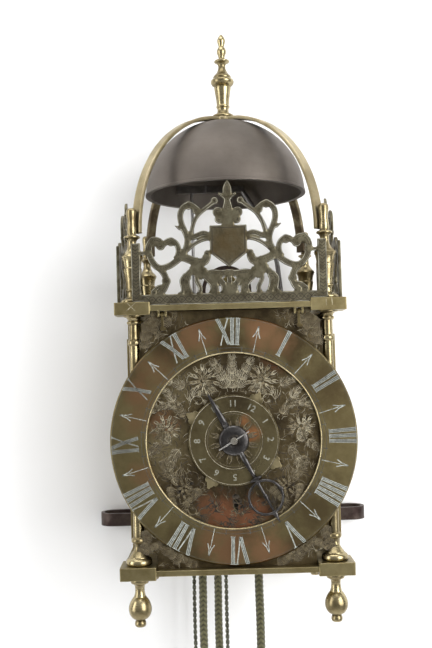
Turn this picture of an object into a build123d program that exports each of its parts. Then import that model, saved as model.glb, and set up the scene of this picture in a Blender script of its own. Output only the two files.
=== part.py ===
from build123d import *
import os
from math import acos, atan2, cos, degrees, hypot, pi, radians, sin, sqrt, tan

# A lantern clock: a posted brass frame with a bell on top, a movement between
# two plates, one hand, an alarm disc, rope drives and an iron hoop for a wall hook.
# Millimetres. X runs to the viewer's right, Y to the back and Z up, measured from
# the middle of the frame's plan and the underside of its bottom corner blocks.

# --- driving dimensions -------------------------------------------------------
frame_width = 149.0        # across the outer faces of the corner blocks
frame_height = 176.3       # underside of the bottom blocks to the top of the top ones
block = 23.0               # side of a square corner block
block_thick = 8.0
plate_thick = 3.5
plate_inset = 1.0          # the plate edges stand this far inside the block faces
running = 0.05             # radial clearance of a pivot or a tenon in its hole
easing = 0.3               # gap between pieces that only pass each other

pillar_radius = 3.3
tenon_radius = 3.0
tenon_reach = 7.0          # how far a pillar's tenon enters a finial or a foot

bell_radius = 57.5
bell_rise = 54.3           # rim to crown, outside
bell_wall = 2.8
bell_rim_height = 257.7
strap_thick = 2.5
strap_width = 7.2
strap_hub_radius = 8.0
bell_stud_radius = 3.0
bell_nut_thick = 4.0
finial_height = 62.5

fret_thick = 2.0
fret_band = 7.0            # height of the plain band along a fret's foot
fret_post_inner = 57.0
fret_post_width = 6.0
fret_screw_radius = 1.2

dial_half_width = 59.0
dial_thick = 2.0
dial_front = -66.6
dial_centre = 86.3         # height of the hand's arbor
ring_radius = 79.5
ring_inner_radius = 55.8
ring_thick = 2.4
alarm_radius = 29.2
alarm_thick = 1.5
hand_thick = 1.4
hand_hub_radius = 9.7
hand_reach = 59.8
hand_tail = 33.7
hand_loop_radius = 11.7
hand_loop_centre = 41.3
hand_angle = -61.9         # from the viewer's right, anticlockwise
hour_arbor_radius = 2.2

door_thick = 1.2
door_x = 67.5              # middle of a door's sheet
door_hinge_y = 49.0
door_pin_radius = 1.2
back_thick = 2.0
back_half_width = 57.0
strap_reach = 106.5        # half the span of the wall stand-off
standoff_thick = 2.5
standoff_tall = 10.0
standoff_radius = 11.0     # outside of its bends
standoff_foot = 17.5       # length of each foot along the wall
hoop_leg = 18.5            # middle of the hoop's legs from the centre line
hoop_top = 212.0           # inside of the hoop's arch, where the hook bears
hoop_deep = 6.0
hoop_thick = 3.0

bar_width = 16.0
bar_thick = 3.0
front_bar_y = -46.0        # front faces of the three bars
middle_bar_y = -4.0
rear_bar_y = 34.0
pivot_radius = 1.2
arbor_radius = 2.0
pressure_angle = radians(25)
rope_radius = 3.0
chain_radius = 1.6

great_teeth = 60
pinion_leaves = 8
great_module = 1.0
great_x = -4.0
great_z = 45.0
contrate_x = 0.0
contrate_z = 78.8
contrate_teeth = 48
train_module = 0.9
report_leaves = 6
hour_teeth = 72
crown_y = -33.0            # axis of the upright crown-wheel arbor
crown_radius = 14.0
crown_teeth = 19
verge_clear = 4.6          # verge staff above the tips of the crown wheel
strike_x = 2.0
hoop_teeth = 56
hoop_x = 5.6
fly_x = 2.0
count_teeth = 48
count_x = 24.0
hammer_x = 46.0
hammer_z = 95.0
hammer_y = 42.0            # plane in which the hammer's stem swings
hammer_head_z = 270.7
detent_x = -36.0
detent_z = 112.0
alarm_x = -19.5
alarm_z = 60.0
alarm_chain_y = 62.0
alarm_verge_x = -25.3
alarm_verge_y = 32.4
alarm_head_z = 269.0
going_rope_y = -12.0
going_pulley = 19.7        # radius of the rope's centre line
strike_rope_y = 14.0
strike_pulley = 15.2
alarm_pulley = 12.5
rope_end = -68.0           # height of the ropes' lower ends
chain_end = -92.0
hook_wire = 1.2

# --- sizes that follow ---------------------------------------------------------
pillar_axis = (frame_width - block) / 2
plate_half = frame_width / 2 - plate_inset
plate_gap = (block_thick - plate_thick) / 2
low_top = plate_gap + plate_thick                 # upper face of the bottom plate
high_low = frame_height - plate_gap - plate_thick   # under face of the top plate
high_top = frame_height - plate_gap               # upper face of the top plate
pillar_foot = block_thick
pillar_head = frame_height - block_thick
bell_top = bell_rim_height + bell_rise
hub_top = bell_top + strap_thick
corners = {
    "front_left": (-1, -1),
    "front_right": (1, -1),
    "rear_left": (-1, 1),
    "rear_right": (1, 1),
}
hook_y = plate_half + hoop_deep / 2
HOME = Location((0, -hook_y, -hoop_top))


def write(shape, name):
    """Label a finished piece and write it, measured from the hoop's seat on its hook."""
    placed = shape.moved(HOME)
    placed.label = name
    export_step(placed, f"parts/{name}.step")


def facing(x, y, z, turn=0.0):
    """A plane that faces the viewer, its x direction turned anticlockwise from X."""
    a = radians(turn)
    return Plane(origin=(x, y, z), x_dir=(cos(a), 0, sin(a)), z_dir=(0, -1, 0))


def lathe(*runs):
    """Turn an outline of (radius, height) runs about Z: two points make a straight run."""
    with BuildPart() as turned:
        with BuildSketch(Plane.XZ):
            with BuildLine():
                for run in runs:
                    if len(run) == 2:
                        Line(*run)
                    else:
                        Spline(*run)
                first = runs[0][0]
                last = runs[-1][-1]
                Polyline(last, (0, last[1]), (0, first[1]), first)
            make_face()
        revolve(axis=Axis.Z)
    return turned.part


def tooth_outline(teeth, module, addendum, dedendum, turn, slack=0.12):
    """Involute teeth round a wheel, with one tooth pointing at turn degrees."""
    pitch = teeth * module / 2
    base = pitch * cos(pressure_angle)
    half_at_pitch = pi / teeth / 2 - slack / pitch / 2
    involute = tan(pressure_angle) - pressure_angle
    root = pitch - dedendum * module
    tip = pitch + addendum * module
    flank = []
    for share in (0, 0.5, 1):
        radius = max(root, base) + share * (tip - max(root, base))
        roll = acos(min(1, base / radius))
        flank.append((radius, half_at_pitch + involute - (tan(roll) - roll)))
    if root < base - 0.01:
        flank.insert(0, (root, flank[0][1]))
    points = []
    for tooth in range(teeth):
        middle = radians(turn) + 2 * pi * tooth / teeth
        side = [(r, middle - a) for r, a in flank] + [(r, middle + a) for r, a in reversed(flank)]
        points += [(r * cos(a), r * sin(a)) for r, a in side]
    return points


def toothed(plane, thick, outline):
    """A toothed disc from plane, thick along the plane's normal."""
    with BuildPart() as disc:
        with BuildSketch(plane):
            with BuildLine():
                Polyline(*outline, close=True)
            make_face()
        extrude(amount=thick)
    return disc.part


def crossings(plane, thick, rim_inner, hub, arm):
    """The four openings between a wheel's arms, as a cutter."""
    with BuildPart() as openings:
        with BuildSketch(plane):
            Circle(rim_inner)
            Circle(hub, mode=Mode.SUBTRACT)
            Rectangle(2 * rim_inner, arm, mode=Mode.SUBTRACT)
            Rectangle(arm, 2 * rim_inner, mode=Mode.SUBTRACT)
        extrude(amount=thick)
    return openings.part


def cylinder(plane, radius, length):
    """A round bar from plane, along its normal."""
    with BuildPart() as bar:
        with BuildSketch(plane):
            Circle(radius)
        extrude(amount=length)
    return bar.part


def arbor(x, z, front, back, radius=arbor_radius):
    """A steel arbor along Y with a thinner pivot in a bar at each end."""
    length = bar_thick - running
    with BuildPart() as shaft:
        add(cylinder(facing(x, back, z), radius, back - front))
        add(cylinder(facing(x, back + length, z), pivot_radius, length))
        add(cylinder(facing(x, front, z), pivot_radius, length))
    return shaft.part


def pulley(x, y, z, rope_line, cord, clearance=0.3):
    """A grooved sheave whose cord runs at radius rope_line in the plane y."""
    groove = rope_line - cord - clearance
    flange = rope_line + 0.6 * cord
    half = cord + clearance
    cheek = 1.6
    with BuildPart() as sheave:
        with BuildSketch(facing(x, y + half + cheek, z)):
            Circle(flange)
        extrude(amount=2 * (half + cheek))
        with BuildSketch(facing(x, y + half, z)):
            Circle(flange)
            Circle(groove, mode=Mode.SUBTRACT)
        extrude(amount=2 * half, mode=Mode.SUBTRACT)
        fillet(sheave.edges().filter_by(GeomType.CIRCLE).group_by(SortBy.RADIUS)[-1], 0.5)
    return sheave.part


def rope(x, y, z, rope_line, cord, end):
    """One cord: up on the left, over its pulley and down on the right."""
    with BuildPart() as cord_part:
        with BuildLine() as path:
            Line((x - rope_line, y, end), (x - rope_line, y, z))
            ThreePointArc((x - rope_line, y, z), (x, y, z + rope_line), (x + rope_line, y, z))
            Line((x + rope_line, y, z), (x + rope_line, y, end))
        with BuildSketch(Plane.XY.offset(end)):
            with Locations((x - rope_line, y)):
                Circle(cord)
        sweep(path=path.wire())
    return cord_part.part


os.makedirs("parts", exist_ok=True)

# --- the frame: two plates cast with corner blocks ------------------------------
pillar_spots = [(sx * pillar_axis, sy * pillar_axis) for sx, sy in corners.values()]
bar_spots = [(0, y + bar_thick / 2) for y in (front_bar_y, middle_bar_y, rear_bar_y)]
tenon_width = 8.0
wedge_radius = 1.0
going_spots = [(great_x - going_pulley, going_rope_y), (great_x + going_pulley, going_rope_y)]
strike_spots = [(strike_x - strike_pulley, strike_rope_y), (strike_x + strike_pulley, strike_rope_y)]
chain_spots = [(alarm_x - alarm_pulley, alarm_chain_y), (alarm_x + alarm_pulley, alarm_chain_y)]
door_spots = [(-door_x, door_hinge_y), (door_x, door_hinge_y)]
door_pin_deep = 2.5
tab_y = plate_half - 6.0
tab_x = 40.0
fret_screw_spots = [(sx * tab_x, -tab_y) for sx in (-1, 1)]
fret_screw_spots += [(sx * tab_y, sy * tab_x) for sx in (-1, 1) for sy in (-1, 1)]
latch_x = 44.0
latch_y = dial_front - 2.6
latch_z = high_low - 2.2
latch_pin = 0.8
latch_ear = 1.4
latch_slot = 3.4
dial_foot_x = 36.0
dial_foot_wide = 8.0
dial_foot_deep = 2.0
hammer_stem = 1.8
stem_at_plate = 43.4
stem_swing = 6.5


def frame_plate(low, block_low):
    """A plate between block edges, cast in one with its four square corner blocks."""
    with BuildPart() as casting:
        with BuildSketch(Plane.XY.offset(low)):
            Rectangle(2 * plate_half, 2 * plate_half)
        extrude(amount=plate_thick)
        with BuildSketch(Plane.XY.offset(block_low)):
            with Locations(*pillar_spots):
                Rectangle(block, block)
        extrude(amount=block_thick)
        upright = casting.edges().filter_by(Axis.Z)
        fillet(upright.filter_by(lambda e: abs(e.length - block_thick) < 0.01), 0.6)
        with BuildSketch(Plane.XY.offset(block_low)):
            with Locations(*pillar_spots):
                Circle(tenon_radius + running)
        extrude(amount=block_thick, mode=Mode.SUBTRACT)
        with BuildSketch(Plane.XY.offset(low)):
            with Locations(*bar_spots):
                Rectangle(tenon_width + 2 * running, bar_thick + 2 * running)
        extrude(amount=plate_thick, mode=Mode.SUBTRACT)
    return casting.part


with BuildPart() as bottom_plate:
    add(frame_plate(plate_gap, 0))
    with BuildSketch(Plane.XY.offset(plate_gap)):
        with Locations(*going_spots, *strike_spots):
            Circle(rope_radius + 1.2)
        with Locations(*chain_spots):
            Circle(chain_radius + 1.6)
        with Locations((alarm_verge_x, alarm_verge_y)):
            Circle(pivot_radius + running)
    extrude(amount=plate_thick, mode=Mode.SUBTRACT)
    with BuildSketch(Plane.XY.offset(low_top)):
        with Locations(*((s * dial_foot_x, dial_front + dial_thick / 2) for s in (-1, 1))):
            Rectangle(dial_foot_wide + 2 * running, dial_thick + 2 * running)
    extrude(amount=-dial_foot_deep - running, mode=Mode.SUBTRACT)
    with BuildSketch(Plane.XY.offset(low_top)):
        with Locations(*door_spots):
            Circle(door_pin_radius + running)
    extrude(amount=-door_pin_deep - running, mode=Mode.SUBTRACT)
write(bottom_plate.part, "bottom_plate")

with BuildPart() as top_plate:
    add(frame_plate(high_low, pillar_head))
    with BuildSketch(Plane.XY.offset(high_low)):
        with Locations(*fret_screw_spots):
            Circle(fret_screw_radius + running)
        with Locations((0, crown_y)):
            Circle(arbor_radius + running)
        with Locations((alarm_verge_x, alarm_verge_y)):
            Circle(pivot_radius + running)
        with Locations((stem_at_plate + stem_swing / 2, hammer_y)):
            SlotOverall(2 * hammer_stem + stem_swing + 2, 2 * hammer_stem + 1.4)
    extrude(amount=plate_thick, mode=Mode.SUBTRACT)
    with BuildSketch(Plane.XY.offset(high_low)):
        with Locations(*door_spots):
            Circle(door_pin_radius + running)
    extrude(amount=door_pin_deep + running, mode=Mode.SUBTRACT)
    for side in (-1, 1):
        for ear in (-1, 1):
            ear_x = side * latch_x + ear * (latch_slot + latch_ear) / 2
            with BuildSketch(Plane.YZ.offset(ear_x - latch_ear / 2)):
                with Locations((latch_y, (latch_z + high_low) / 2)):
                    Rectangle(2 * latch_pin + 2, high_low - latch_z)
                with Locations((latch_y, latch_z)):
                    Circle(latch_pin + 1)
                    Circle(latch_pin + running, mode=Mode.SUBTRACT)
            extrude(amount=latch_ear)
write(top_plate.part, "top_plate")

# --- turned work: pillars, feet and finials --------------------------------------
low = pillar_foot
high = pillar_head
pillar = lathe(
    [(tenon_radius, low - block_thick - tenon_reach), (tenon_radius, low)],
    [(tenon_radius, low), (7.8, low)],
    [(7.8, low), (8.4, low + 0.8)],
    [(8.4, low + 0.8), (8.5, low + 2.2), (7.9, low + 3.7), (6.4, low + 4.7)],
    [(6.4, low + 4.7), (6.2, low + 5.2)],
    [(6.2, low + 5.2), (5.0, low + 6.8), (3.4, low + 9.2), (2.6, low + 11.6)],
    [(2.6, low + 11.6), (2.8, low + 13.6)],
    [(2.8, low + 13.6), (4.5, low + 14.4), (4.5, low + 16.6), (pillar_radius, low + 17.6)],
    [(pillar_radius, low + 17.6), (pillar_radius, high - 19.8)],
    [(pillar_radius, high - 19.8), (4.1, high - 18.9), (4.1, high - 16.6), (3.3, high - 15.5)],
    [(3.3, high - 15.5), (3.0, high - 6.0)],
    [(3.0, high - 6.0), (4.6, high - 5.0), (4.6, high - 4.2), (3.7, high - 3.6)],
    [(3.7, high - 3.6), (4.6, high - 1.8), (7.0, high - 0.7)],
    [(7.0, high - 0.7), (7.0, high)],
    [(7.0, high), (tenon_radius, high)],
    [(tenon_radius, high), (tenon_radius, high + block_thick + tenon_reach)],
)
foot = lathe(
    [(1.5, -31.3), (3.3, -30.7), (3.5, -28.4), (2.6, -26.8)],
    [(2.6, -26.8), (5.7, -25.0), (7.4, -19.8), (6.1, -15.2), (3.9, -12.2)],
    [(3.9, -12.2), (3.1, -8.6), (3.2, -5.6)],
    [(3.2, -5.6), (4.2, -4.2), (5.5, -3.6)],
    [(5.5, -3.6), (5.9, -2.2), (5.5, 0)],
)
socket_deep = tenon_reach + 0.5
with BuildPart() as foot_piece:
    add(foot)
    with BuildSketch(Plane.XY):
        Circle(tenon_radius + running)
    extrude(amount=-socket_deep, mode=Mode.SUBTRACT)

finial_lower = [
    [(7.4, 0), (8.0, 0.8)],
    [(8.0, 0.8), (7.8, 1.9), (6.6, 2.9), (4.6, 3.8)],
    [(4.6, 3.8), (4.2, 5.4), (4.3, 7.2), (4.8, 8.0)],
    [(4.8, 8.0), (5.0, 8.8), (4.6, 9.4)],
    [(4.6, 9.4), (4.7, 12.0), (5.4, 17.6), (6.2, 22.6)],
    [(6.2, 22.6), (5.6, 23.4)],
]
crown_turning = lathe(
    *finial_lower,
    [(5.6, 23.4), (6.9, 24.2), (8.3, 26.0), (8.5, 27.2), (7.9, 28.6)],
    [(7.9, 28.6), (6.5, 29.6)],
    [(6.5, 29.6), (6.6, 30.4), (5.5, 32.2)],
    [(5.5, 32.2), (4.0, 34.2), (2.9, 36.8), (2.7, 38.4)],
    [(2.7, 38.4), (3.2, 40.2), (5.3, 41.6)],
    [(5.3, 41.6), (5.6, 42.3), (5.2, 43.0)],
    [(5.2, 43.0), (2.5, 43.8)],
    [(2.5, 43.8), (2.3, 45.2), (3.5, 49.6), (2.9, 52.0), (2.1, 53.3)],
    [(2.1, 53.3), (2.3, 54.6), (3.05, 57.8), (2.2, 60.4), (0.6, finial_height)],
)
corner_turning = lathe(
    *finial_lower,
    [(5.6, 23.4), (5.9, 25.6)],
    [(5.9, 25.6), (6.4, 27.8), (7.4, 30.2)],
    [(7.4, 30.2), (6.2, 32.0), (4.0, 34.6), (3.0, 37.4), (2.8, 39.4)],
    [(2.8, 39.4), (3.3, 41.4), (5.2, 42.8)],
    [(5.2, 42.8), (5.3, 43.6), (4.6, 44.2)],
    [(4.6, 44.2), (2.8, 44.8)],
    [(2.8, 44.8), (3.2, 47.0), (3.1, 49.9), (2.8, 52.4)],
    [(2.8, 52.4), (3.0, 56.0), (3.4, 59.4), (3.2, 61.2)],
    [(3.2, 61.2), (2.4, 62.2), (0.6, finial_height)],
)
peg_radius = 0.8
peg_height = 49.9
strap_line = 84.6          # a strap arm's centre line from the clock's axis at its foot
finial_distance = pillar_axis * sqrt(2)
peg_end = finial_distance - 1.0
peg_z = frame_height + peg_height

for name, (sx, sy) in corners.items():
    write(pillar.moved(Location((sx * pillar_axis, sy * pillar_axis, 0))), f"{name}_pillar")
    write(foot_piece.part.moved(Location((sx * pillar_axis, sy * pillar_axis, 0))), f"{name}_foot")
    inward = Plane(
        origin=(sx * (peg_end + 0.3) / sqrt(2), sy * (peg_end + 0.3) / sqrt(2), peg_z),
        z_dir=(-sx, -sy, 0),
    )
    with BuildPart() as corner_finial:
        add(corner_turning.moved(Location((sx * pillar_axis, sy * pillar_axis, frame_height))))
        with BuildSketch(Plane.XY.offset(frame_height)):
            with Locations((sx * pillar_axis, sy * pillar_axis)):
                Circle(tenon_radius + running)
        extrude(amount=socket_deep, mode=Mode.SUBTRACT)
        with BuildSketch(inward):
            Circle(peg_radius + running)
        extrude(amount=6, mode=Mode.SUBTRACT)
    write(corner_finial.part, f"{name}_finial")

# --- the bell, its strap, finial and nut -----------------------------------------
with BuildPart() as bell:
    with BuildSketch(Plane.XZ):
        with BuildLine():
            EllipticalCenterArc((0, bell_rim_height), bell_radius, bell_rise, arc_size=90)
            Line((0, bell_top), (0, bell_top - bell_wall))
            EllipticalCenterArc(
                (0, bell_rim_height), bell_radius - bell_wall, bell_rise - bell_wall, arc_size=90
            )
            Line((bell_radius - bell_wall, bell_rim_height), (bell_radius, bell_rim_height))
        make_face()
        with BuildLine():
            Polyline(
                (bell_radius - bell_wall, bell_rim_height),
                (bell_radius + 0.5, bell_rim_height),
                (bell_radius + 0.5, bell_rim_height + 1.4),
                (bell_radius - bell_wall + 1, bell_rim_height + 2.6),
                close=True,
            )
        make_face()
    revolve(axis=Axis.Z)
    with BuildSketch(Plane.XY.offset(bell_top + 1)):
        Circle(bell_stud_radius + running)
    extrude(amount=-bell_wall - 4, mode=Mode.SUBTRACT)
write(bell.part, "bell")

strap_base = peg_z - 1.9
with BuildPart() as bell_strap:
    for turn in (45, 135):
        arm_plane = Plane(
            origin=(0, 0, 0),
            x_dir=(cos(radians(turn)), sin(radians(turn)), 0),
            z_dir=(sin(radians(turn)), -cos(radians(turn)), 0),
        )
        outer = strap_line + strap_thick / 2
        inner = strap_line - strap_thick / 2
        with BuildSketch(arm_plane):
            with BuildLine():
                EllipticalCenterArc((0, strap_base), outer, hub_top - strap_base, arc_size=180)
                Line((-outer, strap_base), (-outer, strap_base - 1.8))
                Line((-outer, strap_base - 1.8), (-inner, strap_base - 1.8))
                Line((-inner, strap_base - 1.8), (-inner, strap_base))
                EllipticalCenterArc((0, strap_base), inner, bell_top - strap_base, arc_size=180)
                Line((inner, strap_base), (inner, strap_base - 1.8))
                Line((inner, strap_base - 1.8), (outer, strap_base - 1.8))
                Line((outer, strap_base - 1.8), (outer, strap_base))
            make_face()
        extrude(amount=strap_width / 2, both=True)
    with BuildSketch(Plane.XY.offset(bell_top)):
        Circle(strap_hub_radius)
    extrude(amount=strap_thick)
    for sx, sy in corners.values():
        start = strap_line / sqrt(2)
        outward = Plane(origin=(sx * start, sy * start, peg_z), z_dir=(sx, sy, 0))
        with BuildSketch(outward):
            Circle(peg_radius)
        extrude(amount=peg_end - strap_line)
    with BuildSketch(Plane.XY.offset(bell_top)):
        Circle(bell_stud_radius + running)
    extrude(amount=strap_thick, mode=Mode.SUBTRACT)
write(bell_strap.part, "bell_strap")

nut_drop = 0.6             # the square nut bears by its corners inside the dome
nut_top = bell_top - bell_wall - nut_drop
with BuildPart() as crown_finial:
    add(crown_turning.moved(Location((0, 0, hub_top))))
    with BuildSketch(Plane.XY.offset(hub_top)):
        Circle(bell_stud_radius)
    extrude(amount=-(hub_top - nut_top + bell_nut_thick + 1.5))
write(crown_finial.part, "crown_finial")

with BuildPart() as bell_nut:
    with BuildSketch(Plane.XY.offset(nut_top - bell_nut_thick)):
        Rectangle(11, 11)
        Circle(bell_stud_radius + running, mode=Mode.SUBTRACT)
    extrude(amount=bell_nut_thick)
write(bell_nut.part, "bell_nut")

# --- three pierced frets round the bell ------------------------------------------
# Right-hand half of a fret in its own plane: x from its middle, y up from its foot.
fret_scrolls = {
    "inner branch": (
        2.6,
        [(8.3, 66.3), (14.2, 61.8), (19.6, 57.0), (22.4, 51.6), (23.9, 46.2), (26.0, 41.9)],
    ),
    "upper scroll": (
        3.8,
        [
            (19.6, 60.4), (21.6, 63.0), (24.7, 64.4), (28.6, 62.5), (30.6, 57.8), (29.7, 51.6),
            (27.0, 45.0), (26.2, 41.0),
        ],
    ),
    "main stem": (
        4.2,
        [
            (26.2, 42.2), (27.2, 36.5), (30.0, 31.7), (34.5, 27.6), (39.9, 24.6), (45.2, 24.2),
            (49.4, 28.3), (51.2, 33.8),
        ],
    ),
    "outer scroll": (4.8, [(51.2, 33.8), (51.0, 38.7), (48.6, 41.6), (45.6, 41.6), (43.6, 39.0)]),
    "inner lobe": (
        3.6,
        [(43.6, 39.0), (41.6, 39.4), (38.8, 41.4), (35.4, 41.0), (32.8, 38.0), (32.4, 33.6), (34.4, 29.4)],
    ),
    "tail": (4.2, [(44.8, 23.8), (41.7, 19.6), (40.5, 15.2), (42.0, 10.8), (45.4, 6.6)]),
    "tail curl": (2.8, [(41.6, 11.6), (45.0, 11.8), (48.4, 9.4), (49.2, 6.4)]),
    "upper leaf": (3.8, [(25.8, 44.6), (21.9, 43.6), (18.2, 45.0), (12.0, 43.2)]),
    "lower leaf": (2.4, [(26.6, 34.8), (21.9, 38.9), (17.4, 41.2), (12.0, 42.0)]),
    "hip": (5.4, [(29.6, 30.6), (22.4, 27.8), (16.6, 27.2), (14.1, 31.4)]),
    "thigh": (8.6, [(23.0, 27.0), (20.2, 22.6), (21.6, 18.0)]),
    "calf": (4.2, [(22.6, 22.0), (27.0, 18.0), (27.4, 12.6), (25.4, 6.6)]),
    "heel": (2.6, [(28.4, 18.4), (30.6, 13.0), (30.0, 9.0), (32.8, 6.6)]),
    "shin": (2.8, [(19.0, 20.0), (20.4, 14.0), (18.6, 10.0), (20.2, 6.6)]),
    "low leaf": (5.6, [(17.4, 23.2), (14.0, 17.4), (10.6, 13.6), (10.8, 6.6)]),
    "collar leaf": (4.2, [(14.6, 18.6), (9.0, 20.0), (4.0, 19.4), (0.0, 20.8)]),
    "root leaf": (4.2, [(9.2, 19.0), (5.6, 14.6), (3.4, 11.0), (4.0, 6.6)]),
    "root vein": (3.2, [(0.0, 22.0), (0.2, 16.0), (0.0, 6.6)]),
    "fleur arm": (1.9, [(0.6, 66.4), (3.0, 69.4), (5.8, 71.2)]),
}
fret_beads = {
    "branch knob": (8.3, 66.6, 2.3),
    "scroll curl": (20.0, 60.6, 2.7),
    "scroll back": (25.0, 64.0, 2.7),
    "outer lobe": (48.2, 41.2, 3.3),
    "lobe curl": (43.8, 38.4, 3.0),
    "inner lobe back": (37.0, 40.8, 2.9),
    "hip knob": (13.8, 32.6, 2.2),
    "low curl": (48.6, 8.6, 2.1),
    "tail back": (40.6, 15.4, 2.9),
    "thigh curl": (27.6, 17.6, 3.0),
    "shoulder lobe": (6.4, 59.2, 3.3),
    "waist lobe": (5.6, 54.6, 2.9),
}
shield_half = 12.0
shield_top = 50.6
shield_side = 32.8
shield_point = 23.4
bud_height = 79.8


def fret_face():
    """The pierced outline of one fret, drawn once and mirrored about its middle."""
    with BuildSketch() as half:
        for width, points in fret_scrolls.values():
            with BuildLine() as stroke:
                Spline(*points)
            trace(stroke.wires(), line_width=width)
        for x, y, radius in fret_beads.values():
            with Locations((x, y)):
                Circle(radius)
        with BuildLine():
            Polyline((30.6, 50.6), (34.6, 51.2), (32.0, 48.4), (29.0, 47.6), (30.6, 50.6))
        make_face()
        with BuildLine():
            Polyline(
                (0, shield_top), (shield_half, shield_top), (shield_half, shield_side),
                (0, shield_point), (0, shield_top),
            )
        make_face()
        with BuildLine():
            Line((0, shield_top - 1), (4.0, shield_top - 1))
            Spline((4.0, shield_top - 1), (4.0, 57.0), (3.2, 62.0), (1.8, 67.6))
            Spline((1.8, 67.6), (2.9, 73.8), (1.8, 77.4), (0, bud_height))
            Line((0, bud_height), (0, shield_top - 1))
        make_face()
        with Locations((fret_post_inner / 2, fret_band / 2)):
            Rectangle(fret_post_inner, fret_band)
        with Locations((fret_post_inner - 3, 33.8)):
            Rectangle(8, 2.4)
    with BuildSketch() as whole:
        add(half.sketch)
        mirror(half.sketch, about=Plane.YZ)
    return whole.sketch


post_top = 40.4
block_step = plate_gap       # the corner blocks stand this far above the plate
pierced = fret_face()
tab_thick = 1.5
tab_deep = plate_half - tab_y + 3.0


def fret():
    """The front fret, standing on the top plate's edge."""
    with BuildPart() as sheet:
        sheet_back = (0, -plate_half + fret_thick, high_top)
        with BuildSketch(Plane(origin=sheet_back, x_dir=(1, 0, 0), z_dir=(0, -1, 0))):
            add(pierced)
            block_edge = pillar_axis - block / 2 - 0.1
            for side in (-1, 1):
                post_middle = side * (fret_post_inner + fret_post_width / 2)
                with Locations((post_middle, (post_top + block_step) / 2 + 0.05)):
                    Rectangle(fret_post_width, post_top - block_step - 0.1)
                with Locations((side * (block_edge + 20), (block_step + 0.1) / 2)):
                    Rectangle(40, block_step + 0.1, mode=Mode.SUBTRACT)
        extrude(amount=fret_thick)
        with BuildSketch(Plane.XY.offset(high_top)):
            for side in (-1, 1):
                with Locations((side * tab_x, -plate_half + tab_deep / 2 + 0.5)):
                    Rectangle(9, tab_deep - 1)
        extrude(amount=tab_thick)
        with BuildSketch(Plane.XY.offset(high_top)):
            with Locations((tab_x, -tab_y), (-tab_x, -tab_y)):
                Circle(fret_screw_radius + running)
        extrude(amount=tab_thick, mode=Mode.SUBTRACT)
    return sheet.part


front_fret = fret()
write(front_fret, "front_fret")
write(front_fret.rotate(Axis.Z, -90), "left_fret")
write(front_fret.rotate(Axis.Z, 90), "right_fret")

with BuildPart() as fret_screws:
    with BuildSketch(Plane.XY.offset(high_top + tab_thick)):
        with Locations(*fret_screw_spots):
            Circle(2.2)
    extrude(amount=1.4)
    with BuildSketch(Plane.XY.offset(high_low)):
        with Locations(*fret_screw_spots):
            Circle(fret_screw_radius)
    extrude(amount=plate_thick + tab_thick)
write(fret_screws.part, "fret_screws")

# --- the dial, chapter ring, alarm disc and hand -----------------------------------
dial_back = dial_front + dial_thick
dial_top = high_low - easing
ring_stud_radius = 1.5
ring_studs = [(67.0 * cos(radians(a)), 67.0 * sin(radians(a))) for a in (37, 143, 217, 323)]
with BuildPart() as dial_plate:
    with BuildSketch(facing(0, dial_back, dial_centre)):
        with BuildLine():
            top = dial_top - dial_centre
            bottom = low_top - dial_centre
            Polyline(
                (51.0, top), (51.0, top - 2.6), (dial_half_width - 1.2, top - 8.0),
                (dial_half_width - 1.2, top - 20), (dial_half_width, top - 21),
                (dial_half_width, bottom + 21), (dial_half_width - 1.2, bottom + 20),
                (53.6, bottom + 12), (51.0, bottom + 8.5), (51.0, bottom),
                (-51.0, bottom), (-51.0, bottom + 8.5), (-53.6, bottom + 12),
                (1.2 - dial_half_width, bottom + 20), (-dial_half_width, bottom + 21),
                (-dial_half_width, top - 21), (1.2 - dial_half_width, top - 20),
                (1.2 - dial_half_width, top - 8.0), (-51.0, top - 2.6), (-51.0, top),
                close=True,
            )
        make_face()
        Circle(hour_arbor_radius + running, mode=Mode.SUBTRACT)
        with Locations(*ring_studs):
            Circle(ring_stud_radius + running, mode=Mode.SUBTRACT)
    extrude(amount=dial_thick)
    with BuildSketch(Plane.XY.offset(low_top)):
        with Locations(*((s * dial_foot_x, dial_front + dial_thick / 2) for s in (-1, 1))):
            Rectangle(dial_foot_wide, dial_thick)
    extrude(amount=-dial_foot_deep)
write(dial_plate.part, "dial_plate")

with BuildPart() as chapter_ring:
    with BuildSketch(facing(0, dial_front, dial_centre)):
        Circle(ring_radius)
        Circle(ring_inner_radius, mode=Mode.SUBTRACT)
    extrude(amount=ring_thick)
    front_rims = chapter_ring.faces().sort_by(Axis.Y)[0].edges()
    chamfer(front_rims.sort_by(SortBy.RADIUS)[-1], 0.8)
    with BuildSketch(facing(0, dial_front, dial_centre)):
        with Locations(*ring_studs):
            Circle(ring_stud_radius)
    extrude(amount=-dial_thick - 2.5)
write(chapter_ring.part, "chapter_ring")

alarm_back = dial_front - easing
alarm_boss = 6.5
alarm_boss_thick = 1.6
lug_angles = (59.5, 149.5, 240.0, 329.5)
with BuildPart() as alarm_disc:
    with BuildSketch(facing(0, alarm_back, dial_centre)):
        Circle(alarm_radius)
        for angle in lug_angles:
            for reach, swing, lobe in ((31.4, 0, 2.4), (30.0, 5.0, 1.9), (30.0, -5.0, 1.9), (34.0, 0, 1.1)):
                a = radians(angle + swing)
                with Locations((reach * cos(a), reach * sin(a))):
                    Circle(lobe)
        Circle(hour_arbor_radius + running, mode=Mode.SUBTRACT)
    extrude(amount=alarm_thick)
    with BuildSketch(facing(0, alarm_back - alarm_thick, dial_centre)):
        Circle(alarm_boss)
        Circle(hour_arbor_radius + running, mode=Mode.SUBTRACT)
    extrude(amount=alarm_boss_thick)
write(alarm_disc.part, "alarm_disc")

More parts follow.
